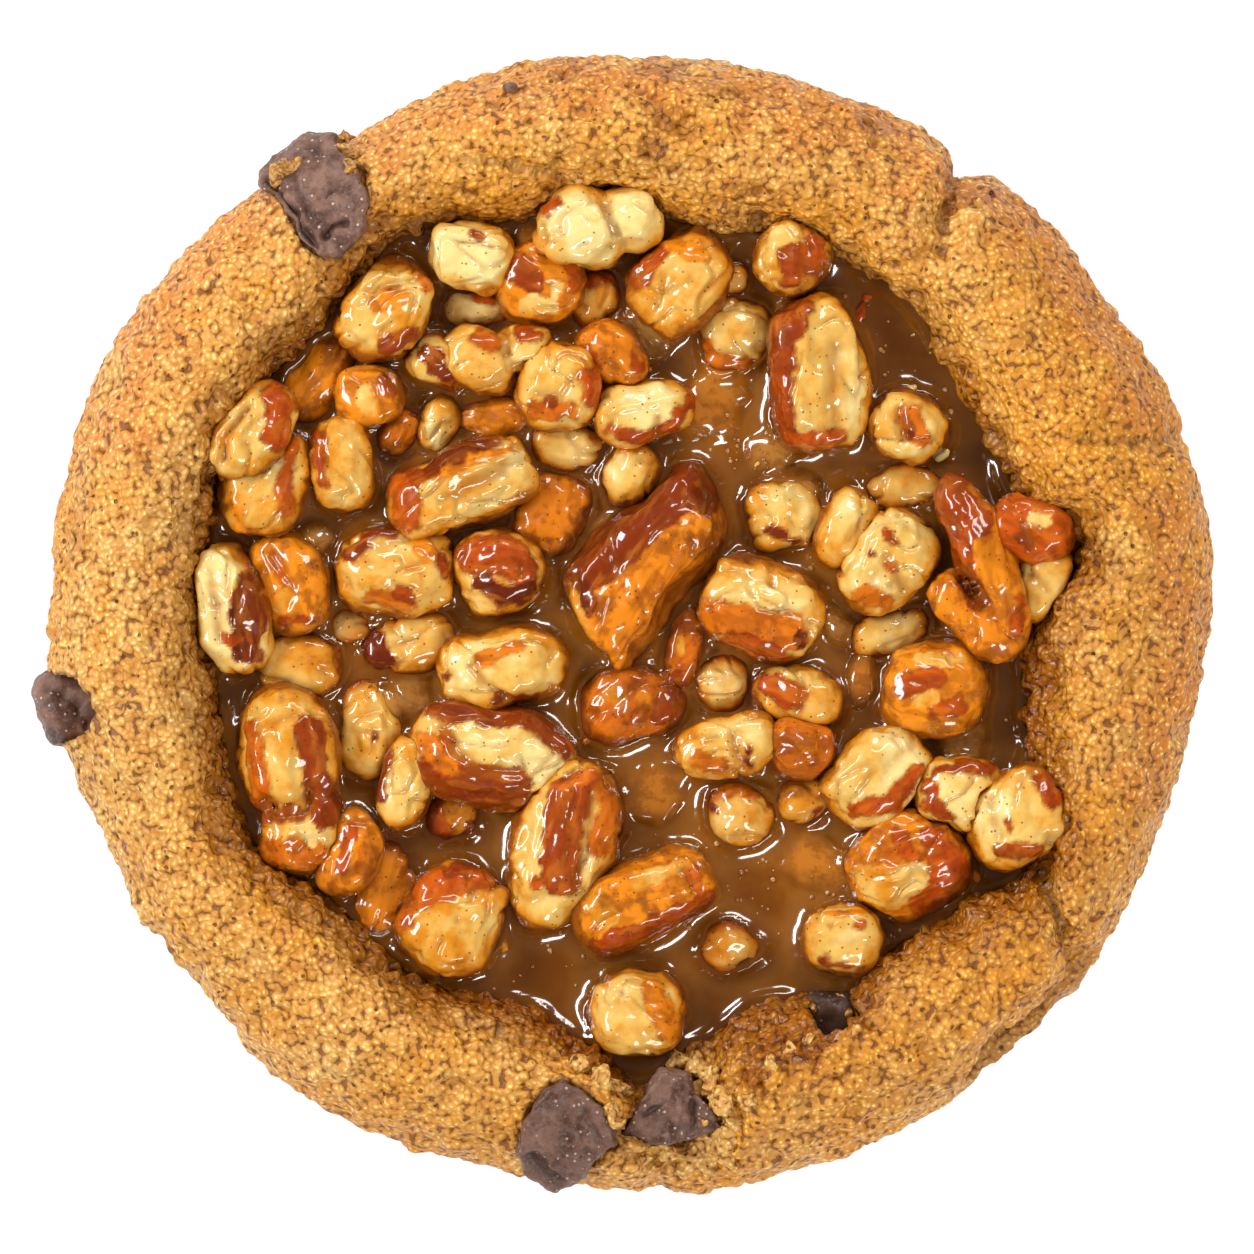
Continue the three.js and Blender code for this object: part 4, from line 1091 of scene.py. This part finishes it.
def carve_kernel(mesh, seed, ochre, base, patches, grooves=(), film=0.0):
    """Grooves a kernel and rounds it unevenly, and says where its skin and its flesh are."""
    skin, facing = places(mesh), normals(mesh)
    height = skin[:, 2]
    cover, roast, edge = lay_skin(skin, facing, seed, base, patches)
    fibres = along_kernel(skin)
    streak = rough_field(fibres, 0.9, 170 + seed, 2)
    crease, lobes = crease_kernel(skin, facing, fibres, seed)
    # The grooves, creases and folds between lobes are also painted dark, painted shade in them.
    press, fold = press_grooves(skin, facing, grooves, seed)
    field = rough_field(skin, 5.2, 40 + seed, 1)
    press -= 0.85 * field + 0.36 * rough_field(skin, 2.8, 80 + seed, 2) + 0.09 * cover + 0.1 * streak
    press -= 0.07 * rough_field(skin, 1.3, 280 + seed, 2) * (1 - cover)
    press += 0.35 * crease + (0.4 - 0.25 * cover) * lobes
    put_places(mesh, skin - facing * press[:, None])
    # The flesh turns ochre lower down towards the caramel, and its flanks that face away from above are
    # painted darker as well, painted shade.
    top = height.max() - CARAMEL_LEVEL
    low = 1 - smoothstep(height - CARAMEL_LEVEL, 0.15 * top, 0.95 * top)
    side = 1 - smoothstep(facing[:, 2], 0.15, 0.85)
    sunk = 1 - smoothstep(height, CARAMEL_LEVEL + 0.1, CARAMEL_LEVEL + 1.8)
    ochre_and_side_shade = np.clip(ochre + 0.6 * low**1.3 + 0.5 * side + 0.55 * field, -PALEST_FLESH, 1.3)
    put_shares(
        mesh, skin=cover, edge=edge, roast=roast, streak=streak, ochre=ochre_and_side_shade + PALEST_FLESH,
        fold=np.clip(fold + 0.5 * crease + 0.25 * lobes, 0, 1), sunk=np.clip(film + 0.8 * sunk, 0, 1),
    )


glazed_pecan, tree, shader = new_material("glazed_pecan")
place = add_node(tree, "ShaderNodeTexCoord").outputs["Object"]
cover, edge, roast = attribute(tree, "skin"), attribute(tree, "edge"), attribute(tree, "roast")
mottle = grain(tree, place, 2.2, 4, 0.6)
streak = attribute(tree, "streak")
# The ochre share holds the flesh's own tone together with the painted shade on its flanks.
ochre = calculate(tree, "ADD", attribute(tree, "ochre"), remap(tree, mottle, 0.3, 0.72, -0.15, 0.3))
ochre = calculate(tree, "MULTIPLY_ADD", streak, 0.16, ochre)
flesh = blend(tree, remap(tree, ochre, 0.0, 0.5), srgb(228, 202, 132), srgb(217, 171, 84))
flesh = blend(tree, remap(tree, ochre, 0.42, 0.95), flesh, srgb(206, 130, 24))
flesh = blend(tree, remap(tree, ochre, 0.85, 1.4), flesh, srgb(134, 66, 6))
toasted = blend(tree, remap(tree, roast, 0.0, 0.5), srgb(222, 130, 16), srgb(182, 72, 4))
toasted = blend(tree, remap(tree, roast, 0.45, 1.0), toasted, srgb(88, 24, 4))
toasted = blend(tree, remap(tree, streak, 0.05, 0.45, 0, 0.26), toasted, srgb(218, 132, 36))
toasted = blend(tree, remap(tree, streak, -0.05, -0.4, 0, 0.32), toasted, srgb(104, 36, 4))
toasted = blend(tree, remap(tree, mottle, 0.47, 0.6, 0, 0.45), toasted, srgb(112, 38, 4))
toasted = blend(tree, remap(tree, ochre, 0.85, 1.5, 0, 0.65), toasted, srgb(92, 36, 6))
colour = blend(tree, cover, flesh, toasted)
colour = paint(tree, colour, edge, 0.65, (104, 34, 4))
# Painted shade in the grooves, creases and folds between lobes.
colour = paint(tree, colour, attribute(tree, "fold"), 0.6, (160, 84, 14))
speck = cells(tree, place, 0.9)
dotted = remap(tree, speck.outputs["Distance"], 0.16, 0.09)
colour = paint(tree, colour, dotted, 0.75, (92, 40, 8))
covered = blend(tree, 1.0, colour, srgb(190, 126, 56), "MULTIPLY")
colour = blend(tree, attribute(tree, "sunk"), colour, covered)
set_inputs(tree, shader, {
    "Base Color": colour, "Roughness": 0.32, "Specular IOR Level": 0.15,
    "Subsurface Weight": 0.18, "Subsurface Radius": (1.0, 0.45, 0.15), "Subsurface Scale": 0.9 * MM,
    "Coat Weight": 1.0, "Coat Roughness": 0.03,
    "Normal": raise_bump(tree, grain(tree, place, 0.8, 3, 0.6), 0.08, 0.4),
    "Coat Normal": raise_bump(tree, grain(tree, place, 2.8, 2, 0.5), 0.22, 0.4),
})

kernels = []
for seed, (name, (ochre, base, patches, grooves)) in enumerate(PECANS.items()):
    kernel = soften_copy(name, name + "_kernel", steps=8, swell=0.4)
    carve_kernel(kernel.data, seed, ochre, base, patches, grooves)
    kernel.data.materials.append(glazed_pecan)
    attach(kernel, "root")
    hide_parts(name)
    kernels.append(kernel)

# ---------------------------------------------------------------- sunk pecans
# Smaller bits of the same kernels that lie lower, so that the caramel has run over their backs
# and only a rounded, darker top shows through its skin.

# Plan place, length, width, turn, height of the back over the caramel, then ochre, film, skin all
# over and patches as above.
SUNK_PECANS = [
    (-15.1, 30.6, 7, 4.6, 0, 2.4, -0.1, 0.2, None, [([(-14.6, 31.6), (-13.4, 31.2)], 0.5, 0.4)]),
    (10, 33.4, 3.8, 3.6, 0, 2.3, 0.2, 0.2, None, []),
    (10.3, 28, 7.8, 7.6, 0, 2.9, 0.05, 0.1, None, [([(7.2, 27), (8.4, 25.4), (11.6, 24.4)], 0.8, 0.3)]),
    (-3.4, 31.6, 5.6, 5, 80, 2.3, 0.1, 0.2, None, [([(-4.4, 33.2), (-2.8, 33.4)], 1.0, 0.45)]),
    (-5.9, 17, 7.4, 5, 0, 2.5, 0.05, 0.15, None, [([(-3.8, 18.4), (-3.2, 17.6)], 0.5, 0.05)]),
    (-22.4, 18.5, 5.2, 4.2, 60, 2.2, 0.4, 0.3, 0.15, []),
    (-18.8, 19, 6, 3.8, 75, 2.6, -0.1, 0.05, None, []),
    (-13.4, 19.6, 7.8, 4.6, 0, 2.1, 0.1, 0.12, 0.05, []),
    (-7.6, 10.7, 8.6, 7.8, 60, 2.8, 0.6, 0.25, 0.1, []),
    (-27.3, -0.5, 5, 4.4, 0, 1.7, 0.05, 0.4, None, []),
    (-21.3, -2, 9.6, 5.7, 10, 2.7, 0.0, 0.15, None,
     [([(-24.9, -1.6), (-24.7, -2.8), (-23.8, -4)], 1.0, 0.9)]),
    (-32.4, -4.3, 9, 6.8, -5, 2.8, 0.15, 0.08, None, []),
    (-16.8, -19, 5.4, 5, 0, 2.3, 0.5, 0.25, None,
     [([(-18.9, -18.8), (-18.4, -20.4)], 1.0, 0.6), ([(-15.2, -20)], 0.6, 0.8)]),
    (9.9, -31.8, 7, 5.4, -10, 2.0, 0.15, 0.3, None, [([(7.6, -29.8), (10, -29.6)], 0.4, 0.2)]),
    (16.9, -17.6, 6.4, 5, 20, 2.5, 0.4, 0.15, None, [([(18, -18.6), (18.6, -18.4)], 0.3, 0.7)]),
    (10.7, -18.8, 7, 6.8, 0, 2.5, 0.0, 0.12, None,
     [([(8.6, -16.6), (12, -16.4)], 0.7, 0.25), ([(7.8, -18)], 0.35, 0.8)]),
    (9.1, -6, 6, 5.9, 0, 2.3, 0.1, 0.2, None, []), (25.4, -1, 8.4, 5.2, 20, 2.3, 0.05, 0.1, None, []),
    (-30.4, 23.6, 9.6, 6.8, 62, 2.0, 0.3, 0.05, 0.0, []),
    (-23.8, -26.2, 9.8, 6.8, 76, 2.0, 0.3, 0.12, 0.0, []),
    (26.6, 13, 8.8, 5, 0, 1.9, 0.25, 0.12, None, []), (-25.6, -8.4, 6.4, 5.2, 60, 1.9, 0, 0.25, None, []),
]
# Half the height of each, how deep under the caramel it is cut off, and how blunt its ends are.
SUNK_HALF = 3
SUNK_CUT = 1.6
SUNK_BLUNT = 0.9

for seed, (x, y, length, width, turn, rise, ochre, film, base, patches) in enumerate(SUNK_PECANS, 1):
    bm = bmesh.new()
    bmesh.ops.create_icosphere(bm, subdivisions=5, radius=1)
    name = f"sunk_pecan_{seed:02d}"
    kernel = new_piece(name, bm)
    ball = places(kernel.data) * MM
    ball = np.sign(ball) * np.abs(ball) ** SUNK_BLUNT
    ball *= [length / 2, width / 2, SUNK_HALF]
    ball = ball @ turned(turn) + [x, y, CARAMEL_LEVEL + rise - SUNK_HALF]
    ball[:, 2] = np.maximum(ball[:, 2], CARAMEL_LEVEL - SUNK_CUT)
    put_places(kernel.data, ball)
    carve_kernel(kernel.data, 200 + seed, ochre, base, patches, (), film)
    kernel.data.materials.append(glazed_pecan)
    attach(kernel, "root")
    kernels.append(kernel)

# ---------------------------------------------------------------- caramel
# Butter caramel poured hot into the baked shell. It set glossy and a little clear, climbs the
# crumb and every kernel in a thin collar, and humps over the kernels that lie wholly under it.

CARAMEL_STEPS = 300
CARAMEL_REACH = 46.5
UNDER_CRUMB = 1.1
SKIRT_DEPTH = 4
COLLAR_REACH = 9.0
COLLAR_SHARE = 0.4
TALLEST_COLLAR = 1.2
COLLAR_FALL = 0.75
SHADED_SIDE = 3
SHADED_WIDTH = 36

# Kernels under the caramel: plan place, length, width, turn, height of the hump and how tawny.
COVERED_PECANS = [
    (7.8, 21, 9, 7, 80, 1.2, 0.8), (32.4, -11.8, 6, 5, 0, 1.2, 0.3), (2.6, -16.6, 6.6, 6.4, 0, 1.0, 0.8),
    (18.2, -23.6, 6.8, 6, 0, 0.8, 0.8), (1, 28, 7.4, 5.4, 0, 0.9, 0.2),
    (22.7, -5.5, 3.4, 5.6, 0, 1.3, 0.8), (20.2, -0.3, 3, 4.6, 20, 1.1, 0.4),
    (-30.6, 8.3, 3.6, 3.2, 0, 1.1, 0.2), (13.6, 16.6, 5, 4.4, 0, 0.8, 0.4),
    (-22.2, -7.6, 6, 4.4, 10, 0.9, 0.3), (15.6, 13.2, 6.4, 4, 0, 0.9, 0.5),
    (-9.4, 37.4, 4, 3, 0, 1.2, 0.7),
]

bm = bmesh.new()
bmesh.ops.create_grid(bm, x_segments=CARAMEL_STEPS, y_segments=CARAMEL_STEPS, size=CARAMEL_REACH * MM)
plan = np.array([v.co[:2] for v in bm.verts])
bearing = np.degrees(np.arctan2(plan[:, 1], plan[:, 0]))
beyond = np.hypot(plan[:, 0], plan[:, 1]) / MM > mouth_radius(bearing) + UNDER_CRUMB
outside = [v for v, past in zip(bm.verts, beyond) if past]
bmesh.ops.delete(bm, geom=outside, context="VERTS")
edges = [e for e in bm.edges if e.is_boundary]
skirt = bmesh.ops.extrude_edge_only(bm, edges=edges)["geom"]
hem = [v for v in skirt if isinstance(v, bmesh.types.BMVert)]
bmesh.ops.translate(bm, verts=hem, vec=(0, 0, -SKIRT_DEPTH * MM))
bmesh.ops.contextual_create(bm, geom=[e for e in skirt if isinstance(e, bmesh.types.BMEdge)])
bmesh.ops.recalc_face_normals(bm, faces=bm.faces)
caramel = new_piece("caramel_filling", bm)
pool = places(caramel.data)
surface = pool[:, 2] > -1
pool[:, 2] += CARAMEL_LEVEL

# The caramel climbs each kernel by a share of that kernel's own height.
bm = bmesh.new()
last_face, tops = [], []
for kernel in kernels:
    bm.from_mesh(kernel.data)
    last_face.append(len(bm.faces))
    tops.append(places(kernel.data)[:, 2].max() - CARAMEL_LEVEL)
bm.faces.index_update()
kernel_tree = BVHTree.FromBMesh(bm)
bm.free()
nearest, collar = np.full(len(pool), COLLAR_REACH), np.zeros(len(pool))
for i in np.flatnonzero(surface):
    raised = Vector(pool[i]) * MM + Vector((0, 0, 0.4 * MM))
    found = kernel_tree.find_nearest(raised, COLLAR_REACH * MM)
    if found[0] is not None:
        nearest[i] = found[3] / MM
        top = tops[np.searchsorted(last_face, found[2], side="right")]
        collar[i] = min(TALLEST_COLLAR, COLLAR_SHARE * top)
climb = collar * np.exp(-nearest / COLLAR_FALL)
angle = np.arctan2(pool[:, 1], pool[:, 0])
shore = mouth_radius(np.degrees(angle)) - np.hypot(pool[:, 0], pool[:, 1])
climb += 0.8 * np.exp(-np.maximum(shore, 0) / 0.9) * (1 + 0.7 * rough_field(pool, 4, 12, 2))
swell = 0.2 * rough_field(pool, 9, 13, 2) + 0.04 * rough_field(pool, 3.5, 14, 1)
buried, tawny = np.zeros(len(pool)), np.zeros(len(pool))
for x, y, length, width, turn, rise, tan in COVERED_PECANS:
    turn = math.radians(turn)
    far, wide = pool[:, 0] - x, pool[:, 1] - y
    ahead = (far * math.cos(turn) + wide * math.sin(turn)) / (length / 2)
    beside = (wide * math.cos(turn) - far * math.sin(turn)) / (width / 2)
    inside = 1 - np.hypot(ahead, beside) + 0.25 * rough_field(pool, 3, 15, 2)
    hump = rise * np.sqrt(np.clip(inside * (2 - inside), 0, 1))
    swell += smoothstep(inside, -0.25, 0.3) * hump
    here = smoothstep(inside + 0.3 * rough_field(pool, 1.6, 16, 2), -0.15, 0.75)
    tawny = np.where(here > buried, tan, tawny)
    buried = np.maximum(buried, here)
pool[:, 2] += np.where(surface, climb + swell - 0.25 * smoothstep(nearest, 0.5, 4), 0)
put_places(caramel.data, pool)
shade = np.exp(-(((np.degrees(angle) - SHADED_SIDE) / SHADED_WIDTH) ** 2)) * smoothstep(9 - shore, 0, 8)
put_shares(
    caramel.data, buried=buried, tawny=tawny, near=surface * np.exp(-nearest / 0.7),
    halo=surface * np.exp(-(((nearest - 1.5) / 0.8) ** 2)), shade=surface * shade,
    shore=surface * np.exp(-np.maximum(shore, 0) / 4.0),
)

butter_caramel, tree, shader = new_material("butter_caramel")
place = add_node(tree, "ShaderNodeTexCoord").outputs["Object"]
cloud = grain(tree, place, 9, 4, 0.6)
colour = blend(tree, remap(tree, cloud, 0.35, 0.65), srgb(118, 62, 6), srgb(152, 90, 20))
# A lighter band on the collar round each kernel, a painted sheen.
colour = paint(tree, colour, attribute(tree, "halo"), 0.5, (142, 90, 36))
# Painted shade where the caramel meets each kernel.
colour = paint(tree, colour, attribute(tree, "near"), 0.7, (96, 50, 8))
hump = blend(tree, attribute(tree, "tawny"), srgb(170, 124, 62), srgb(190, 108, 16))
burnt = remap(tree, grain(tree, place, 1.6, 4, 0.7), 0.44, 0.62, 0, 0.7)
hump = blend(tree, burnt, hump, srgb(128, 68, 12))
colour = blend(tree, calculate(tree, "MULTIPLY", attribute(tree, "buried"), 0.85), colour, hump)
colour = paint(tree, colour, attribute(tree, "shade"), 0.7, (92, 48, 8))
# Painted shadow of the crust's wall, darkest at the shore and fading over about 4 mm.
colour = paint(tree, colour, attribute(tree, "shore"), 0.55, (66, 34, 6))
set_inputs(tree, shader, {
    "Base Color": colour, "Roughness": 0.14, "Coat Weight": 1.0, "Coat Roughness": 0.03,
    "Normal": raise_bump(tree, grain(tree, place, 5, 2, 0.5), 0.15, 0.3),
})
caramel.data.materials.append(butter_caramel)
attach(caramel, "root")
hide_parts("caramel")

# ---------------------------------------------------------------- bits in the caramel
# Flakes and specks of kernel, bare flesh or skin, that came off as the nuts were chopped. They were
# stirred in with the rest, and lie half in the caramel's surface under the same glaze.

# Plan place, length, width, turn, how ochre, and how dark the skin is (None is bare flesh).
BITS = [
    (30.4, 16.3, 1.7, 1.1, 40, -0.4, None), (27.4, 22.7, 1.0, 0.6, 20, -0.2, None),
    (-31.7, -23.7, 1.3, 1, 0, -0.2, None), (-9.3, 37.5, 2.4, 1.7, 30, 0.4, None),
    (22.4, 30, 2.3, 1.1, 75, 0.2, 0.6), (23.2, 31.6, 1.0, 0.6, 10, 0.2, 0.4),
    (12.4, 15.4, 0.9, 0.6, 60, 0, None), (31.2, 8.4, 1.0, 0.8, 0, 0.1, None),
    (20.6, -28.4, 0.8, 0.6, 30, 0.4, 0.3), (-12.2, -31.6, 1.1, 0.8, 80, 0.3, None),
    (4.6, 10.2, 0.8, 0.6, 0, 0.5, 0.5), (33.6, -24.6, 1.2, 0.9, 120, 0.3, 0.3),
    (27.6, 27.9, 0.7, 0.5, 0, -0.2, None), (-4.2, -11.6, 0.9, 0.6, 50, 0.5, 0.2),
    (16.2, 24.4, 0.7, 0.5, 0, 0.1, None),
]
poured = bmesh.new()
poured.from_mesh(caramel.data)
caramel_tree = BVHTree.FromBMesh(poured)
poured.free()


def on_caramel(x, y):
    """The point of the caramel at a plan place, or nothing where a kernel covers it."""
    high = Vector((x, y, 60)) * MM
    down = Vector((0, 0, -1))
    found = caramel_tree.ray_cast(high, down)[0]
    covering = kernel_tree.ray_cast(high, down)[0]
    return None if found is None or (covering and covering.z > found.z - 0.1 * MM) else found


bm = bmesh.new()
ochres, roasts = [], []
for x, y, length, width, turn, ochre, roast in BITS:
    found = on_caramel(x, y)
    if found is None:
        continue
    bit = bmesh.ops.create_icosphere(bm, subdivisions=3, radius=0.5 * MM)["verts"]
    bmesh.ops.scale(bm, verts=bit, vec=(length, width, 0.7 * width))
    bmesh.ops.rotate(bm, verts=bit, cent=(0, 0, 0), matrix=Matrix.Rotation(math.radians(turn), 3, "Z"))
    bmesh.ops.translate(bm, verts=bit, vec=found)
    ochres += [ochre + PALEST_FLESH] * len(bit)
    roasts += [roast] * len(bit)
bits = new_piece("pecan_bits", bm)
chopped = places(bits.data)
put_places(bits.data, chopped + normals(bits.data) * (0.3 * rough_field(chopped, 0.9, 240, 2))[:, None])
skinned = [roast is not None for roast in roasts]
put_shares(bits.data, ochre=ochres, skin=skinned, roast=[roast or 0 for roast in roasts])
put_shares(bits.data, edge=0, streak=0, fold=0, sunk=0)
bits.data.materials.append(glazed_pecan)
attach(bits, "root")

# ---------------------------------------------------------------- bubbles
# Air that rose as the caramel boiled. The setting skin caught it in small clear domes of paler
# caramel, some in clusters of foam and the rest strewn over the whole filling.

# Plan middle, reach and count of each cluster.
FOAM = [
    ((22.4, -27), 5.5, 60), ((12.2, 16.6), 3, 22), ((26, 26), 8, 26), ((-8, -33), 7, 30),
    ((8.5, -24.6), 6, 36), ((-30.4, 8.6), 3, 10), ((0, 0), 38, 190), ((16.5, 5), 4, 18),
    ((-24, -30), 5, 16),
]
SMALLEST_BUBBLE = 0.11
BUBBLE_SPREAD = 0.22
rng = np.random.default_rng(11)
bm = bmesh.new()
for (x, y), reach, count in FOAM:
    for _ in range(count):
        away, turn = reach * math.sqrt(rng.random()), math.tau * rng.random()
        size = SMALLEST_BUBBLE + BUBBLE_SPREAD * rng.random() ** 3
        found = on_caramel(x + away * math.cos(turn), y + away * math.sin(turn))
        if found is None:
            continue
        bubble = bmesh.ops.create_uvsphere(bm, u_segments=9, v_segments=6, radius=size * MM)["verts"]
        bmesh.ops.translate(bm, verts=bubble, vec=found)
bubbles = new_piece("caramel_bubbles", bm)
clear_caramel, tree, shader = new_material("clear_caramel")
tint = grain(tree, add_node(tree, "ShaderNodeTexCoord").outputs["Object"], 3)
colour = blend(tree, remap(tree, tint, 0.35, 0.65), srgb(150, 92, 34), srgb(190, 140, 84))
set_inputs(tree, shader, {
    "Base Color": colour, "Roughness": 0.08, "Coat Weight": 1.0, "Coat Roughness": 0.02,
    "Normal": raise_bump(tree, tint, 0.05, 0.2),
})
bubbles.data.materials.append(clear_caramel)
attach(bubbles, "root")

# ---------------------------------------------------------------- table, light and camera
# A white table under a bright tent of light, with soft windows high on the left, behind and in
# front, and a long lens looking straight down.

TABLE_REACH = 3
bm = bmesh.new()
bmesh.ops.create_grid(bm, x_segments=1, y_segments=1, size=TABLE_REACH)
table = new_piece("table_top", bm)
white_table, tree, shader = new_material("white_table")
faint = grain(tree, add_node(tree, "ShaderNodeTexCoord").outputs["Object"], 40)
set_inputs(tree, shader, {
    "Base Color": blend(tree, faint, (0.2, 0.2, 0.2, 1), (0.22, 0.22, 0.22, 1)), "Roughness": 0.9,
    "Emission Color": (1, 1, 1, 1), "Emission Strength": 0.86,
})
table.data.materials.append(white_table)

# The tent lights everything evenly; in the gloss it is a dim grey, so that the windows show.
TENT_LIGHT = 0.66
TENT_IN_GLOSS = 0.05
world = bpy.data.worlds.new("tent")
bpy.context.scene.world = world
world.use_nodes = True
tree = world.node_tree
glossy = add_node(tree, "ShaderNodeLightPath").outputs["Is Glossy Ray"]
brightness = calculate(tree, "MULTIPLY_ADD", glossy, TENT_IN_GLOSS - TENT_LIGHT, TENT_LIGHT)
set_inputs(tree, tree.nodes["Background"], {"Color": (1, 1, 1, 1), "Strength": brightness})


def hang_window(name, place, wide, tall, power, tint=(1, 1, 1)):
    """A soft window of light that faces the pie."""
    lamp = bpy.data.lights.new(name, "AREA")
    lamp.shape, lamp.size, lamp.size_y = "RECTANGLE", wide, tall
    lamp.energy, lamp.color = power, tint
    window = bpy.data.objects.new(name, lamp)
    window.location = place
    window.rotation_euler = Vector(place).to_track_quat("Z", "Y").to_euler()
    bpy.context.scene.collection.objects.link(window)


hang_window("window_left", (-0.50, 0.16, 0.38), 0.45, 0.12, 3.6, (0.95, 0.98, 1.0))
hang_window("window_back", (0.16, 0.48, 0.40), 0.4, 0.10, 1.7, (1.0, 0.99, 0.97))
hang_window("window_front", (0.22, -0.44, 0.42), 0.3, 0.10, 1.6, (1.0, 0.98, 0.94))

# The view is square. Its side, and where the pie's middle stands in it, are in pixels.
VIEW_SIDE = 1254
PIE_AT = (630, 622)
MM_PER_PIXEL = 0.0975
SENSOR = 36
LENS_HEIGHT = 1.2
IN_FOCUS = 0.018
view_x = (VIEW_SIDE / 2 - PIE_AT[0]) * MM_PER_PIXEL * MM
view_y = (PIE_AT[1] - VIEW_SIDE / 2) * MM_PER_PIXEL * MM
lens = bpy.data.cameras.new("camera")
lens.sensor_width = SENSOR
lens.lens = SENSOR * LENS_HEIGHT / (VIEW_SIDE * MM_PER_PIXEL * MM)
camera = bpy.data.objects.new("camera", lens)
camera.location = (view_x, view_y, LENS_HEIGHT + IN_FOCUS)
bpy.context.scene.collection.objects.link(camera)
bpy.context.scene.camera = camera
bpy.context.scene.view_settings.view_transform = "Standard"
